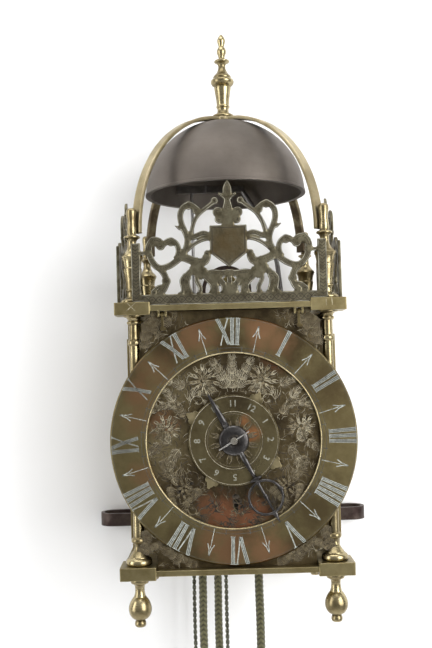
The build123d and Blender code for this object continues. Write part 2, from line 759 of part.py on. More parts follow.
hand_back = alarm_back - alarm_thick - alarm_boss_thick - easing
hand_front = hand_back - hand_thick - 0.8
pin_y = hand_front - 1.1
pin_radius = 0.5
pin_turn = 30.6
with BuildPart() as hour_hand:
    with BuildSketch(facing(0, hand_back, dial_centre, hand_angle)):
        with BuildLine():
            Polyline(
                (6, 2.0), (24, 1.3), (27.6, 1.6), (28.2, 4.3), (29.2, 4.3), (29.8, 1.6),
                (31.4, 1.4), (31.4, -1.4), (29.8, -1.6), (29.2, -4.3), (28.2, -4.3),
                (27.6, -1.6), (24, -1.3), (6, -2.0), close=True,
            )
        make_face()
        with BuildLine():
            tip_start = hand_loop_centre + hand_loop_radius - 1.4
            Polyline(
                (tip_start, 2.2), (tip_start + 2.6, 1.5), (hand_reach, 0),
                (tip_start + 2.6, -1.5), (tip_start, -2.2), close=True,
            )
        make_face()
        with Locations((hand_loop_centre, 0)):
            Circle(hand_loop_radius)
            Circle(hand_loop_radius - 1.7, mode=Mode.SUBTRACT)
        with Locations((hand_loop_centre, hand_loop_radius), (hand_loop_centre, -hand_loop_radius)):
            Circle(1.5)
        with BuildLine():
            Polyline(
                (-6, 2.4), (-16, 2.0), (-hand_tail, 0.65), (-hand_tail, -0.65),
                (-16, -2.0), (-6, -2.4), close=True,
            )
        make_face()
        Circle(hand_hub_radius)
        Circle(hour_arbor_radius + running, mode=Mode.SUBTRACT)
    extrude(amount=hand_thick)
    with BuildSketch(facing(0, hand_back - hand_thick, dial_centre)):
        Circle(hand_hub_radius - 0.6)
        Circle(hour_arbor_radius + running, mode=Mode.SUBTRACT)
    extrude(amount=0.8)
write(hour_hand.part, "hour_hand")

with BuildPart() as hand_pin:
    with BuildSketch(facing(0, pin_y, dial_centre, pin_turn)):
        with BuildLine():
            Polyline((-11.3, pin_radius), (11.3, 0.7 * pin_radius), (11.3, 0), (-11.3, 0), close=True)
        make_face()
    revolve(axis=Axis((0, pin_y, dial_centre), (cos(radians(pin_turn)), 0, sin(radians(pin_turn)))))
write(hand_pin.part, "hand_pin")

hour_wheel_front = front_bar_y - 6.0
hour_wheel_thick = 2.0
report_distance = hypot(contrate_x - great_x, dial_centre - great_z)
report_module = report_distance * 2 / (report_leaves + hour_teeth)
report_turn = degrees(atan2(dial_centre - great_z, -great_x))
hour_radius = hour_teeth * report_module / 2
with BuildPart() as hour_wheel:
    wheel_plane = facing(0, hour_wheel_front + hour_wheel_thick, dial_centre)
    hour_outline = tooth_outline(hour_teeth, report_module, 0.5, 1.15, report_turn + 180)
    add(toothed(wheel_plane, hour_wheel_thick, hour_outline))
    add(crossings(wheel_plane, hour_wheel_thick, hour_radius - 5, 7, 5), mode=Mode.SUBTRACT)
    hub_back = front_bar_y - running
    add(cylinder(facing(0, hub_back, dial_centre), 4.5, hub_back - hour_wheel_front + 1))
    add(cylinder(facing(0, hub_back, dial_centre), hour_arbor_radius, hub_back - pin_y + 1.9))
    add(cylinder(facing(0, front_bar_y + bar_thick - running, dial_centre), hour_arbor_radius, bar_thick))
    with BuildSketch(facing(0, pin_y, dial_centre, pin_turn)):
        with BuildLine():
            Polyline(
                (-11.3, pin_radius + running), (11.3, 0.7 * pin_radius + running), (11.3, 0), (-11.3, 0),
                close=True,
            )
        make_face()
    revolve(
        axis=Axis((0, pin_y, dial_centre), (cos(radians(pin_turn)), 0, sin(radians(pin_turn)))),
        mode=Mode.SUBTRACT,
    )
write(hour_wheel.part, "hour_wheel")

# --- dial latches: hooks that swing forward on pins under the top plate -------------
for name, side in (("dial_latch_left", -1), ("dial_latch_right", 1)):
    with BuildPart() as latch:
        with BuildSketch(Plane.YZ.offset(side * latch_x - 0.8)):
            with Locations((latch_y, latch_z)):
                Circle(1.5)
            with Locations((latch_y, latch_z - 5.0)):
                Rectangle(1.1, 9.0)
        extrude(amount=1.6)
        with BuildSketch(Plane.YZ.offset(side * latch_x - 2.4)):
            with Locations((latch_y, latch_z)):
                Circle(latch_pin)
        extrude(amount=4.8)
        with BuildSketch(facing(side * latch_x, latch_y + 0.55, latch_z - 9.0)):
            Circle(1.5)
            with Locations((1.5, -0.4)):
                Circle(1.0)
        extrude(amount=1.1)
    write(latch.part, name)

# --- doors ---------------------------------------------------------------------------
door_low = low_top + easing
door_high = high_low - easing
door_rear = door_hinge_y + 2.0
door_step = -50.5
door_front = -59.4
for name, side in (("left_door", -1), ("right_door", 1)):
    with BuildPart() as door:
        with BuildSketch(Plane.YZ.offset(side * door_x - door_thick / 2)):
            with Locations(((door_rear + door_step) / 2, (door_low + door_high) / 2)):
                Rectangle(door_rear - door_step, door_high - door_low)
            with Locations(((door_step + door_front) / 2, frame_height / 2)):
                Rectangle(door_step - door_front, frame_height - 46)
        extrude(amount=door_thick)
        with BuildSketch(Plane.XY.offset(low_top - door_pin_deep)):
            with Locations((side * door_x, door_hinge_y)):
                Circle(door_pin_radius)
        extrude(amount=high_low - low_top + 2 * door_pin_deep)
        knob_x = side * (door_x + door_thick / 2)
        with BuildSketch(Plane(origin=(knob_x, door_front + 7, 88), z_dir=(side, 0, 0))):
            Circle(1.2)
        extrude(amount=2.4)
        with BuildSketch(Plane(origin=(knob_x + side * 2.4, door_front + 7, 88), z_dir=(side, 0, 0))):
            Circle(2.6)
        extrude(amount=2.2, taper=20)
    write(door.part, name)

# --- ironwork at the back: plate, hoop, wall stand-off and rivets ---------------------
back_front = plate_half - back_thick
rivet_radius = 1.6
hoop_rivet_z = (132.0, 156.0)
standoff_low = pillar_foot + 0.5
standoff_rivet_x = 34.0
hoop_rivets = [(s * hoop_leg, z) for s in (-1, 1) for z in hoop_rivet_z]
standoff_rivets = [(s * standoff_rivet_x, standoff_low + standoff_tall / 2) for s in (-1, 1)]
with BuildPart() as back_plate:
    with BuildSketch(facing(0, plate_half, 0)):
        with Locations((0, (low_top + high_low) / 2)):
            Rectangle(frame_width - 2 * block - 2 * easing, high_low - low_top)
        with Locations((0, frame_height / 2)):
            Rectangle(2 * back_half_width, pillar_head - pillar_foot - 2 * easing)
        with Locations(*hoop_rivets, *standoff_rivets):
            Circle(rivet_radius, mode=Mode.SUBTRACT)
        with Locations((alarm_x, alarm_z)):
            Circle(pivot_radius + running, mode=Mode.SUBTRACT)
    extrude(amount=back_thick)
write(back_plate.part, "back_plate")

hoop_inner = hoop_leg - hoop_thick / 2
hoop_outer = hoop_leg + hoop_thick / 2
hoop_foot = 124.0
arch_centre = hoop_top - hoop_inner
with BuildPart() as hanging_hoop:
    with BuildSketch(facing(0, plate_half + hoop_deep, 0)):
        with BuildLine():
            Line((hoop_outer, hoop_foot), (hoop_outer, arch_centre))
            CenterArc((0, arch_centre), hoop_outer, 0, 180)
            Line((-hoop_outer, arch_centre), (-hoop_outer, hoop_foot))
            Line((-hoop_outer, hoop_foot), (-hoop_inner, hoop_foot))
            Line((-hoop_inner, hoop_foot), (-hoop_inner, arch_centre))
            CenterArc((0, arch_centre), hoop_inner, 0, 180)
            Line((hoop_inner, arch_centre), (hoop_inner, hoop_foot))
            Line((hoop_inner, hoop_foot), (hoop_outer, hoop_foot))
        make_face()
    extrude(amount=hoop_deep)
    with BuildSketch(facing(0, plate_half + 2.2, 0)):
        for side in (-1, 1):
            with Locations((side * hoop_leg, (hoop_foot + high_low) / 2)):
                RectangleRounded(11, high_low - hoop_foot, 2)
    extrude(amount=2.2)
    with BuildSketch(facing(0, plate_half + hoop_deep, 0)):
        with Locations(*hoop_rivets):
            Circle(rivet_radius)
    extrude(amount=hoop_deep, mode=Mode.SUBTRACT)
write(hanging_hoop.part, "hanging_hoop")

bend_x = strap_reach - standoff_radius
bend_y = plate_half + standoff_radius
wall_y = plate_half + 2 * standoff_radius
in_radius = standoff_radius - standoff_thick
with BuildPart() as standoff_strap:
    with BuildSketch(Plane.XY.offset(standoff_low)):
        with BuildLine():
            Line((-bend_x, plate_half), (bend_x, plate_half))
            CenterArc((bend_x, bend_y), standoff_radius, -90, 180)
            Line((bend_x, wall_y), (bend_x - standoff_foot, wall_y))
            Line((bend_x - standoff_foot, wall_y), (bend_x - standoff_foot, wall_y - standoff_thick))
            Line((bend_x - standoff_foot, wall_y - standoff_thick), (bend_x, wall_y - standoff_thick))
            CenterArc((bend_x, bend_y), in_radius, -90, 180)
            Line((bend_x, bend_y - in_radius), (-bend_x, bend_y - in_radius))
            CenterArc((-bend_x, bend_y), in_radius, 90, 180)
            Line((-bend_x, bend_y + in_radius), (standoff_foot - bend_x, bend_y + in_radius))
            Line((standoff_foot - bend_x, bend_y + in_radius), (standoff_foot - bend_x, wall_y))
            Line((standoff_foot - bend_x, wall_y), (-bend_x, wall_y))
            CenterArc((-bend_x, bend_y), standoff_radius, 90, 180)
        make_face()
    extrude(amount=standoff_tall)
    with BuildSketch(facing(0, plate_half + standoff_thick, 0)):
        with Locations(*standoff_rivets):
            Circle(rivet_radius)
    extrude(amount=standoff_thick, mode=Mode.SUBTRACT)
write(standoff_strap.part, "standoff_strap")

head_thick = 1.4
with BuildPart() as back_rivets:
    rivet_rows = ((hoop_rivets, plate_half + hoop_deep), (standoff_rivets, plate_half + standoff_thick))
    for spots, back in rivet_rows:
        with BuildSketch(facing(0, back, 0)):
            with Locations(*spots):
                Circle(rivet_radius)
        extrude(amount=back - back_front)
        with BuildSketch(facing(0, back + head_thick, 0)):
            with Locations(*spots):
                Circle(2.6)
        extrude(amount=head_thick)
        with BuildSketch(facing(0, back_front, 0)):
            with Locations(*spots):
                Circle(2.6)
        extrude(amount=head_thick)
write(back_rivets.part, "back_rivets")

# --- the movement's three upright bars, wedged through the plates ---------------------
arm_tall = 8.0
tenon_rise = 3.4
great_distance = (great_teeth + pinion_leaves) * great_module / 2
strike_z = great_z
hoop_z = strike_z + sqrt(great_distance**2 - (hoop_x - strike_x) ** 2)
fly_distance = (hoop_teeth + pinion_leaves) * train_module / 2
fly_z = hoop_z + sqrt(fly_distance**2 - (fly_x - hoop_x) ** 2)
count_distance = (count_teeth + pinion_leaves) * train_module / 2
count_z = strike_z + sqrt(count_distance**2 - (count_x - strike_x) ** 2)
hammer_arbor = 2.0
middle_arms = [(detent_x, detent_z), (hammer_x, hammer_z)]
rear_arms = middle_arms + [(alarm_x, count_z), (count_x, count_z)]
front_pivots = [(great_x, great_z, pivot_radius), (contrate_x, contrate_z, pivot_radius)]
front_pivots += [(contrate_x, dial_centre, hour_arbor_radius)]
middle_pivots = [(great_x, great_z, pivot_radius), (contrate_x, contrate_z, pivot_radius)]
middle_pivots += [(strike_x, strike_z, pivot_radius), (hoop_x, hoop_z, pivot_radius)]
middle_pivots += [(fly_x, fly_z, pivot_radius), (hammer_x, hammer_z, pivot_radius)]
middle_pivots += [(detent_x, detent_z, pivot_radius)]
rear_pivots = [(strike_x, strike_z, pivot_radius), (hoop_x, hoop_z, pivot_radius)]
rear_pivots += [(fly_x, fly_z, pivot_radius), (hammer_x, hammer_z, hammer_arbor)]
rear_pivots += [(detent_x, detent_z, arbor_radius), (alarm_x, alarm_z, pivot_radius)]


def bar(front, arms, pivots):
    """One movement bar with its side arms, its pivot holes and a tenon at each end."""
    with BuildPart() as upright:
        with BuildSketch(facing(0, front + bar_thick, 0)):
            with Locations((0, (low_top + high_low) / 2)):
                Rectangle(bar_width, high_low - low_top)
            with Locations((0, (plate_gap + high_top + tenon_rise) / 2)):
                Rectangle(tenon_width, high_top + tenon_rise - plate_gap)
            for x, z in arms:
                with Locations((x / 2, z)):
                    Rectangle(abs(x) + 1.0, arm_tall)
                with Locations((x, z)):
                    Circle(arm_tall / 2)
            for x, z, radius in pivots:
                with Locations((x, z)):
                    Circle(radius + running, mode=Mode.SUBTRACT)
        extrude(amount=bar_thick)
        add(
            cylinder(facing(0, front + 20, high_top + wedge_radius), wedge_radius + running, 40),
            mode=Mode.SUBTRACT,
        )
    return upright.part


cock_z = 90.0
cock_thick = 3.0
with BuildPart() as front_bar:
    add(bar(front_bar_y, [], front_pivots))
    with BuildSketch(Plane.XY.offset(cock_z)):
        back_face = front_bar_y + bar_thick
        with Locations((0, (back_face + crown_y) / 2)):
            Rectangle(5.4, crown_y - back_face)
        with Locations((0, crown_y)):
            Circle(2.7)
            Circle(pivot_radius + running, mode=Mode.SUBTRACT)
    extrude(amount=cock_thick)
write(front_bar.part, "front_bar")
write(bar(middle_bar_y, middle_arms, middle_pivots), "middle_bar")

with BuildPart() as rear_bar:
    add(bar(rear_bar_y, rear_arms, rear_pivots))
    add(cylinder(facing(count_x, rear_bar_y + bar_thick + 7.4, count_z), arbor_radius, 7.4))
write(rear_bar.part, "rear_bar")

wedge_length = 8.0
with BuildPart() as bar_wedges:
    for x, y in bar_spots:
        add(cylinder(facing(x, y + wedge_length / 2, high_top + wedge_radius), wedge_radius, wedge_length))
write(bar_wedges.part, "bar_wedges")

# --- going train: great wheel, contrate wheel, crown wheel, verge and pendulum ---------
great_front = -22.5
great_thick = 3.0
going_turn = degrees(atan2(contrate_z - great_z, contrate_x - great_x))
leaf_turn = 180 / pinion_leaves
front_seat = front_bar_y + bar_thick + running
with BuildPart() as going_great_wheel:
    wheel_plane = facing(great_x, great_front + great_thick, great_z)
    add(toothed(wheel_plane, great_thick, tooth_outline(great_teeth, great_module, 0.7, 1.05, going_turn)))
    add(crossings(wheel_plane, great_thick, great_teeth * great_module / 2 - 5, 9, 5), mode=Mode.SUBTRACT)
    add(pulley(great_x, going_rope_y, great_z, going_pulley, rope_radius))
    add(cylinder(facing(great_x, going_rope_y, great_z), 5.0, going_rope_y - great_front))
    add(arbor(great_x, great_z, front_seat, middle_bar_y - running))
    add(cylinder(facing(great_x, front_seat, great_z), pivot_radius, front_seat - hour_wheel_front + 1.5))
    report_plane = facing(great_x, hour_wheel_front + hour_wheel_thick + 0.8, great_z)
    report_gap = 180 / report_leaves
    add(
        toothed(
            report_plane,
            hour_wheel_thick + 1.6,
            tooth_outline(report_leaves, report_module, 0.9, 0.95, report_turn + report_gap, 0.2),
        )
    )
write(going_great_wheel.part, "going_great_wheel")

contact_y = crown_y + pinion_leaves * train_module / 2
band_front = contact_y + 1.1
band_deep = 2.5
web_thick = 1.5
contrate_radius = contrate_teeth * train_module / 2
tooth_tip = 0.63
tooth_slope = tan(pressure_angle)
tooth_half = pi * train_module / 4 - 0.09
with BuildPart() as contrate_tooth:
    with BuildSketch(Plane.XY.offset(contrate_z + contrate_radius - 1.4)):
        with BuildLine():
            tip_half = tooth_half - tooth_tip * tooth_slope
            base_half = tooth_half + (band_front - contact_y) * tooth_slope
            Polyline(
                (tip_half, contact_y - tooth_tip), (base_half, band_front), (base_half, band_front + 0.5),
                (-base_half, band_front + 0.5), (-base_half, band_front), (-tip_half, contact_y - tooth_tip),
                close=True,
            )
        make_face()
    extrude(amount=2.2)
with BuildPart() as contrate_wheel:
    web_back = band_front + band_deep
    with BuildSketch(facing(contrate_x, web_back, contrate_z)):
        Circle(contrate_radius + 1.0)
        Circle(contrate_radius - 1.5, mode=Mode.SUBTRACT)
    extrude(amount=band_deep)
    with BuildSketch(facing(contrate_x, web_back, contrate_z)):
        Circle(contrate_radius)
    extrude(amount=web_thick)
    add(
        crossings(facing(contrate_x, web_back, contrate_z), web_thick, contrate_radius - 3, 6, 4),
        mode=Mode.SUBTRACT,
    )
    for tooth in range(contrate_teeth):
        turn = 360 * tooth / contrate_teeth
        axis = Axis((contrate_x, 0, contrate_z), (0, 1, 0))
        add(contrate_tooth.part.rotate(axis, turn))
    add(arbor(contrate_x, contrate_z, front_seat, middle_bar_y - running))
    leaves = tooth_outline(pinion_leaves, great_module, 0.9, 0.9, going_turn + 180 + leaf_turn, 0.2)
    add(toothed(facing(contrate_x, great_front + great_thick + 1.5, contrate_z), great_thick + 2.5, leaves))
write(contrate_wheel.part, "contrate_wheel")

crown_low = high_top + tenon_rise + 0.8
crown_band = 3.6
crown_tooth = 2.8
crown_top = crown_low + crown_band + crown_tooth
pinion_low = contrate_z + contrate_radius - 4.4
pinion_long = 8.0
with BuildPart() as saw_tooth:
    with BuildSketch(Plane.XZ.offset(-crown_radius + 1.6)):
        with BuildLine():
            saw = pi * crown_radius / crown_teeth
            Polyline(
                (-saw + 0.2, crown_top - crown_tooth - 0.4), (saw - 0.2, crown_top - crown_tooth - 0.4),
                (saw - 0.2, crown_top - crown_tooth), (saw - 0.6, crown_top),
                (saw - 1.2, crown_top), (-saw + 0.2, crown_top - crown_tooth), close=True,
            )
        make_face()
    extrude(amount=-1.4)
with BuildPart() as crown_wheel:
    with BuildSketch(Plane.XY.offset(crown_low)):
        Circle(crown_radius)
    extrude(amount=1.4)
    with BuildSketch(Plane.XY.offset(crown_low)):
        Circle(crown_radius)
        Circle(crown_radius - 1.6, mode=Mode.SUBTRACT)
    extrude(amount=crown_band)
    add(crossings(Plane.XY.offset(crown_low), 1.4, crown_radius - 2.6, 4, 3), mode=Mode.SUBTRACT)
    for tooth in range(crown_teeth):
        add(saw_tooth.part.rotate(Axis.Z, 360 * tooth / crown_teeth))
    with BuildSketch(Plane.XY.offset(cock_z + cock_thick + running)):
        Circle(arbor_radius)
    extrude(amount=crown_low + 3.0 - cock_z - cock_thick)
    with BuildSketch(Plane.XY.offset(cock_z + 0.2)):
        Circle(pivot_radius)
    extrude(amount=cock_thick)
    leaves = tooth_outline(pinion_leaves, train_module, 0.9, 1.05, 90 + leaf_turn, 0.2)
    add(toothed(Plane.XY.offset(pinion_low), pinion_long, leaves))
write(crown_wheel.part.moved(Location((0, crown_y, 0))), "crown_wheel")

verge_z = crown_top + verge_clear
verge_lift = verge_z - high_top
potence_thick = 4.0
potence_front = -57.0
cock_rear = 66.0
staff_radius = 1.2
staff_end = plate_half + 12.0
rod_y = plate_half + 11.0
rod_radius = 0.9
bob_z = 46.0
bob_radius = 8.5
bob_thick = 7.0
pallet_reach = 4.8
with BuildPart() as verge_pendulum:
    add(cylinder(facing(0, staff_end, verge_z), staff_radius, staff_end - potence_front - 0.5))
    for turn, y in ((-45, crown_y - crown_radius + 1), (-135, crown_y + crown_radius - 1)):
        with BuildSketch(facing(0, y + 1.8, verge_z, turn)):
            with Locations((pallet_reach / 2, 0)):
                Rectangle(pallet_reach, 0.9)
        extrude(amount=3.6)
    with BuildSketch(Plane.XY.offset(bob_z - bob_radius - 4)):
        with Locations((0, rod_y)):
            Circle(rod_radius)
    extrude(amount=verge_z - bob_z + bob_radius + 4)
write(verge_pendulum.part, "verge_pendulum")

with BuildPart() as pendulum_bob:
    with BuildSketch(facing(0, rod_y, bob_z)):
        Circle(bob_radius)
    extrude(amount=bob_thick / 2, both=True, taper=24)
    with BuildSketch(Plane.XY.offset(bob_z - bob_radius - 1)):
        with Locations((0, rod_y)):
            Circle(rod_radius + running)
    extrude(amount=2 * bob_radius + 2, mode=Mode.SUBTRACT)
write(pendulum_bob.part, "pendulum_bob")

with BuildPart() as verge_potences:
    for front in (potence_front, cock_rear):
        with BuildSketch(facing(0, front + potence_thick, high_top)):
            with Locations((0, verge_lift / 2)):
                Rectangle(9, verge_lift)
            with Locations((0, verge_lift)):
                Circle(4.5)
                Circle(staff_radius + running, mode=Mode.SUBTRACT)
            with Locations((0, 1.25)):
                Rectangle(20, 2.5)
        extrude(amount=potence_thick)
write(verge_potences.part, "verge_potences")

# --- striking train: great wheel, hoop wheel, fly, count wheel, hammer and detent -------
strike_front = 4.0
strike_thick = 3.0
lift_pins = 13
lift_pin_line = 24.5
lift_pin_radius = 1.2
middle_seat = middle_bar_y + bar_thick + running
rear_seat = rear_bar_y - running
count_front = rear_bar_y + bar_thick + 3.0
count_thick = 3.0
count_turn = degrees(atan2(count_z - strike_z, count_x - strike_x))
strike_turn = degrees(atan2(hoop_z - strike_z, hoop_x - strike_x))
fly_turn = degrees(atan2(fly_z - hoop_z, fly_x - hoop_x))
with BuildPart() as strike_great_wheel:
    wheel_plane = facing(strike_x, strike_front + strike_thick, strike_z)
    add(toothed(wheel_plane, strike_thick, tooth_outline(great_teeth, great_module, 0.7, 1.05, strike_turn)))
    rim_inner = lift_pin_line - 2.6
    add(crossings(wheel_plane, strike_thick, rim_inner, 9, 5), mode=Mode.SUBTRACT)
    with BuildSketch(facing(strike_x, strike_front, strike_z)):
        with PolarLocations(lift_pin_line, lift_pins):
            Circle(lift_pin_radius)
    extrude(amount=3.5)
    add(pulley(strike_x, strike_rope_y, strike_z, strike_pulley, rope_radius))
    add(cylinder(facing(strike_x, strike_rope_y, strike_z), 5.0, strike_rope_y - strike_front))
    add(arbor(strike_x, strike_z, middle_seat, rear_seat))
    add(cylinder(facing(strike_x, count_front + count_thick + 0.6, strike_z), pivot_radius, 10))
    leaves = tooth_outline(pinion_leaves, train_module, 0.9, 1.05, count_turn + leaf_turn, 0.2)
    add(toothed(facing(strike_x, count_front + count_thick + 0.6, strike_z), count_thick + 1.2, leaves))
write(strike_great_wheel.part, "strike_great_wheel")

hoop_front = 22.0
hoop_wheel_thick = 2.5
with BuildPart() as hoop_wheel:
    wheel_plane = facing(hoop_x, hoop_front + hoop_wheel_thick, hoop_z)
    add(toothed(wheel_plane, hoop_wheel_thick, tooth_outline(hoop_teeth, train_module, 0.7, 1.05, fly_turn)))
    add(crossings(wheel_plane, hoop_wheel_thick, hoop_teeth * train_module / 2 - 4, 7, 4), mode=Mode.SUBTRACT)
    with BuildSketch(facing(hoop_x, hoop_front, hoop_z)):
        Circle(hoop_teeth * train_module / 2 - 1.8)
        Circle(hoop_teeth * train_module / 2 - 3.2, mode=Mode.SUBTRACT)
    extrude(amount=2.5)
    add(arbor(hoop_x, hoop_z, middle_seat, rear_seat))
    leaves = tooth_outline(pinion_leaves, great_module, 0.9, 0.9, strike_turn + 180 + leaf_turn, 0.2)
    add(toothed(facing(hoop_x, strike_front + strike_thick + 1.5, hoop_z), strike_thick + 2.5, leaves))
write(hoop_wheel.part, "hoop_wheel")

fly_front = 8.0
fly_deep = 10.0
with BuildPart() as fly:
    add(arbor(fly_x, fly_z, middle_seat, rear_seat, 1.6))
    with BuildSketch(facing(fly_x, fly_front + fly_deep, fly_z, 20)):
        Rectangle(24, 0.8)
        Circle(2.6)
    extrude(amount=fly_deep)
    leaves = tooth_outline(pinion_leaves, train_module, 0.9, 1.05, fly_turn + 180 + leaf_turn, 0.2)
    add(toothed(facing(fly_x, hoop_front + hoop_wheel_thick + 1.2, fly_z), hoop_wheel_thick + 2.4, leaves))
write(fly.part, "fly")

with BuildPart() as count_wheel:
    wheel_plane = facing(count_x, count_front + count_thick, count_z)
    count_outline = tooth_outline(count_teeth, train_module, 0.7, 1.05, count_turn + 180)
    add(toothed(wheel_plane, count_thick, count_outline))
    add(crossings(wheel_plane, count_thick, count_teeth * train_module / 2 - 5, 6, 4), mode=Mode.SUBTRACT)
    add(cylinder(facing(count_x, count_front + 10, count_z), arbor_radius + running, 20), mode=Mode.SUBTRACT)
write(count_wheel.part, "count_wheel")

head_half = 15.0
head_tall = 4.6
head_deep = 5.0
tail_y = 0.9
with BuildPart() as strike_hammer:
    add(cylinder(facing(hammer_x, hammer_y + 2.4, hammer_z), hammer_arbor, hammer_y + 2.4 - middle_seat))
    add(cylinder(facing(hammer_x, middle_seat, hammer_z), pivot_radius, bar_thick - running))
    with BuildLine() as stem_path:
        FilletPolyline(
            (hammer_x, hammer_y, hammer_z), (stem_at_plate, hammer_y, high_low), (39.0, hammer_y, 214.0),
            (30.0, hammer_y, 243.0), (13.0, hammer_y, hammer_head_z), radius=40,
        )
    with BuildSketch(Plane(stem_path.line @ 0, z_dir=stem_path.line % 0)):
        Circle(hammer_stem)
    sweep(path=stem_path.wire())
    with BuildSketch(facing(0, hammer_y + head_deep / 2, hammer_head_z)):
        Rectangle(2 * head_half, head_tall)
    extrude(amount=head_deep)
    tail_turn = degrees(atan2(-35, -18))
    with BuildSketch(facing(hammer_x, tail_y + 2.4, hammer_z, tail_turn)):
        with Locations((19.5, 0)):
            Rectangle(39, 4.4)
        Circle(4.5)
    extrude(amount=2.4)
    with BuildSketch(facing(hammer_x, 16, hammer_z, -60)):
        with Locations((6, 0)):
            Rectangle(12, 3.6)
        Circle(4.0)
    extrude(amount=4)
write(strike_hammer.part, "strike_hammer")

with BuildPart() as hammer_spring:
    with BuildSketch(facing(0, 17, 0)):
        with BuildLine():
            Polyline(
                (46, low_top), (56, low_top), (56, low_top + 2.4), (54.2, low_top + 4), (55.4, 60),
                (54.6, 84), (53.8, 84), (54.0, 60), (52.4, low_top + 4), (50, low_top + 2.4),
                (46, low_top + 2.4), close=True,
            )
        make_face()
    extrude(amount=6)
write(hammer_spring.part, "hammer_spring")

detent_wide = 3.6
with BuildPart() as strike_detent:
    detent_end = count_front + count_thick
    add(cylinder(facing(detent_x, detent_end, detent_z), arbor_radius, detent_end - middle_seat))
    add(cylinder(facing(detent_x, middle_seat, detent_z), pivot_radius, bar_thick - running))
    for x, z, y, deep, clear in (
        (count_x, count_z, count_front, count_thick, count_teeth * train_module / 2 + 2.6),
        (hoop_x, hoop_z, hoop_front - 0.5, 3.0, hoop_teeth * train_module / 2 + 3.4),
    ):
        reach = hypot(x - detent_x, z - detent_z) - clear
        turn = degrees(atan2(z - detent_z, x - detent_x))
        with BuildSketch(facing(detent_x, y + deep, detent_z, turn)):
            with Locations((reach / 2, 0)):
                Rectangle(reach, detent_wide)
            Circle(4.0)
        extrude(amount=deep)
write(strike_detent.part, "strike_detent")

# --- alarm: crown wheel with its chain sheave, and the verge that rocks its hammer ------
alarm_wheel_y = rear_bar_y + bar_thick + 6.0
alarm_wheel_radius = 13.0
alarm_teeth = 15
with BuildPart() as alarm_wheel:
    with BuildSketch(facing(alarm_x, alarm_wheel_y, alarm_z)):
        Circle(alarm_wheel_radius)
    extrude(amount=1.4)
    with BuildSketch(facing(alarm_x, alarm_wheel_y, alarm_z)):
        Circle(alarm_wheel_radius)
        Circle(alarm_wheel_radius - 1.5, mode=Mode.SUBTRACT)
    extrude(amount=3.6)
    with BuildSketch(facing(alarm_x, alarm_wheel_y - 3.7, alarm_z)):
        with PolarLocations(alarm_wheel_radius, alarm_teeth):
            Rectangle(3.4, 1.7)
    extrude(amount=1.9, mode=Mode.SUBTRACT)
    with BuildSketch(facing(alarm_x, alarm_wheel_y - 1.7, alarm_z)):
        with PolarLocations(alarm_wheel_radius, alarm_teeth):
            Rectangle(3.4, 1.7)
    extrude(amount=2.0, mode=Mode.SUBTRACT)
    add(pulley(alarm_x, alarm_chain_y, alarm_z, alarm_pulley, chain_radius))
    front = rear_bar_y + bar_thick + running
    add(cylinder(facing(alarm_x, back_front - running, alarm_z), arbor_radius, back_front - running - front))
    add(cylinder(facing(alarm_x, front, alarm_z), pivot_radius, bar_thick))
    add(cylinder(facing(alarm_x, back_front + back_thick - running, alarm_z), pivot_radius, back_thick))
write(alarm_wheel.part, "alarm_wheel")

alarm_head_half = 11.6
alarm_head_tall = 5.6
alarm_head_deep = 3.0
with BuildPart() as alarm_hammer:
    with BuildSketch(Plane.XY.offset(plate_gap + running)):
        with Locations((alarm_verge_x, alarm_verge_y)):
            Circle(pivot_radius)
    extrude(amount=alarm_head_z - plate_gap)
    with BuildSketch(Plane.XY.offset(alarm_head_z - alarm_head_tall / 2)):
        with Locations((alarm_verge_x, alarm_verge_y)):
            SlotOverall(2 * alarm_head_half, alarm_head_deep)
    extrude(amount=alarm_head_tall)
    for z in (alarm_z + alarm_wheel_radius, alarm_z - alarm_wheel_radius):
        with BuildSketch(Plane.XY.offset(z - 2)):
            with Locations((alarm_verge_x, alarm_verge_y + 2.6)):
                Rectangle(1.2, 5.2)
        extrude(amount=4)
    with BuildSketch(Plane.XY.offset(low_top + 0.1)):
        with Locations((alarm_verge_x, alarm_verge_y)):
            Circle(2.4)
    extrude(amount=2)
write(alarm_hammer.part, "alarm_hammer")

# --- ropes, alarm chain, weight hooks and rings -------------------------------------------
write(rope(great_x, going_rope_y, great_z, going_pulley, rope_radius, rope_end), "going_rope")
write(rope(strike_x, strike_rope_y, strike_z, strike_pulley, rope_radius, rope_end - 8), "strike_rope")
write(rope(alarm_x, alarm_chain_y, alarm_z, alarm_pulley, chain_radius, chain_end), "alarm_chain")

ferrule = 6.0
hook_radius = 4.6
with BuildPart() as weight_hooks:
    for (x, y), top, cord in (
        (going_spots[1], rope_end, rope_radius),
        (strike_spots[0], rope_end - 8, rope_radius),
        (chain_spots[0], chain_end, chain_radius),
    ):
        with BuildSketch(Plane.XY.offset(top)):
            with Locations((x, y)):
                Circle(cord + 0.4)
        extrude(amount=-ferrule)
        with BuildLine() as hook_path:
            start = top - ferrule + 0.5
            eye = top - ferrule - 4 - hook_radius
            Line((x, y, start), (x, y, eye + hook_radius + 1))
            Spline(
                (x, y, eye + hook_radius + 1), (x + hook_radius, y, eye), (x, y, eye - hook_radius),
                (x - hook_radius, y, eye), tangents=((0, 0, -1), (0, 0, 1)),
            )
        with BuildSketch(Plane(origin=(x, y, start), z_dir=(0, 0, -1))):
            Circle(hook_wire)
        sweep(path=hook_path.wire())
write(weight_hooks.part, "weight_hooks")

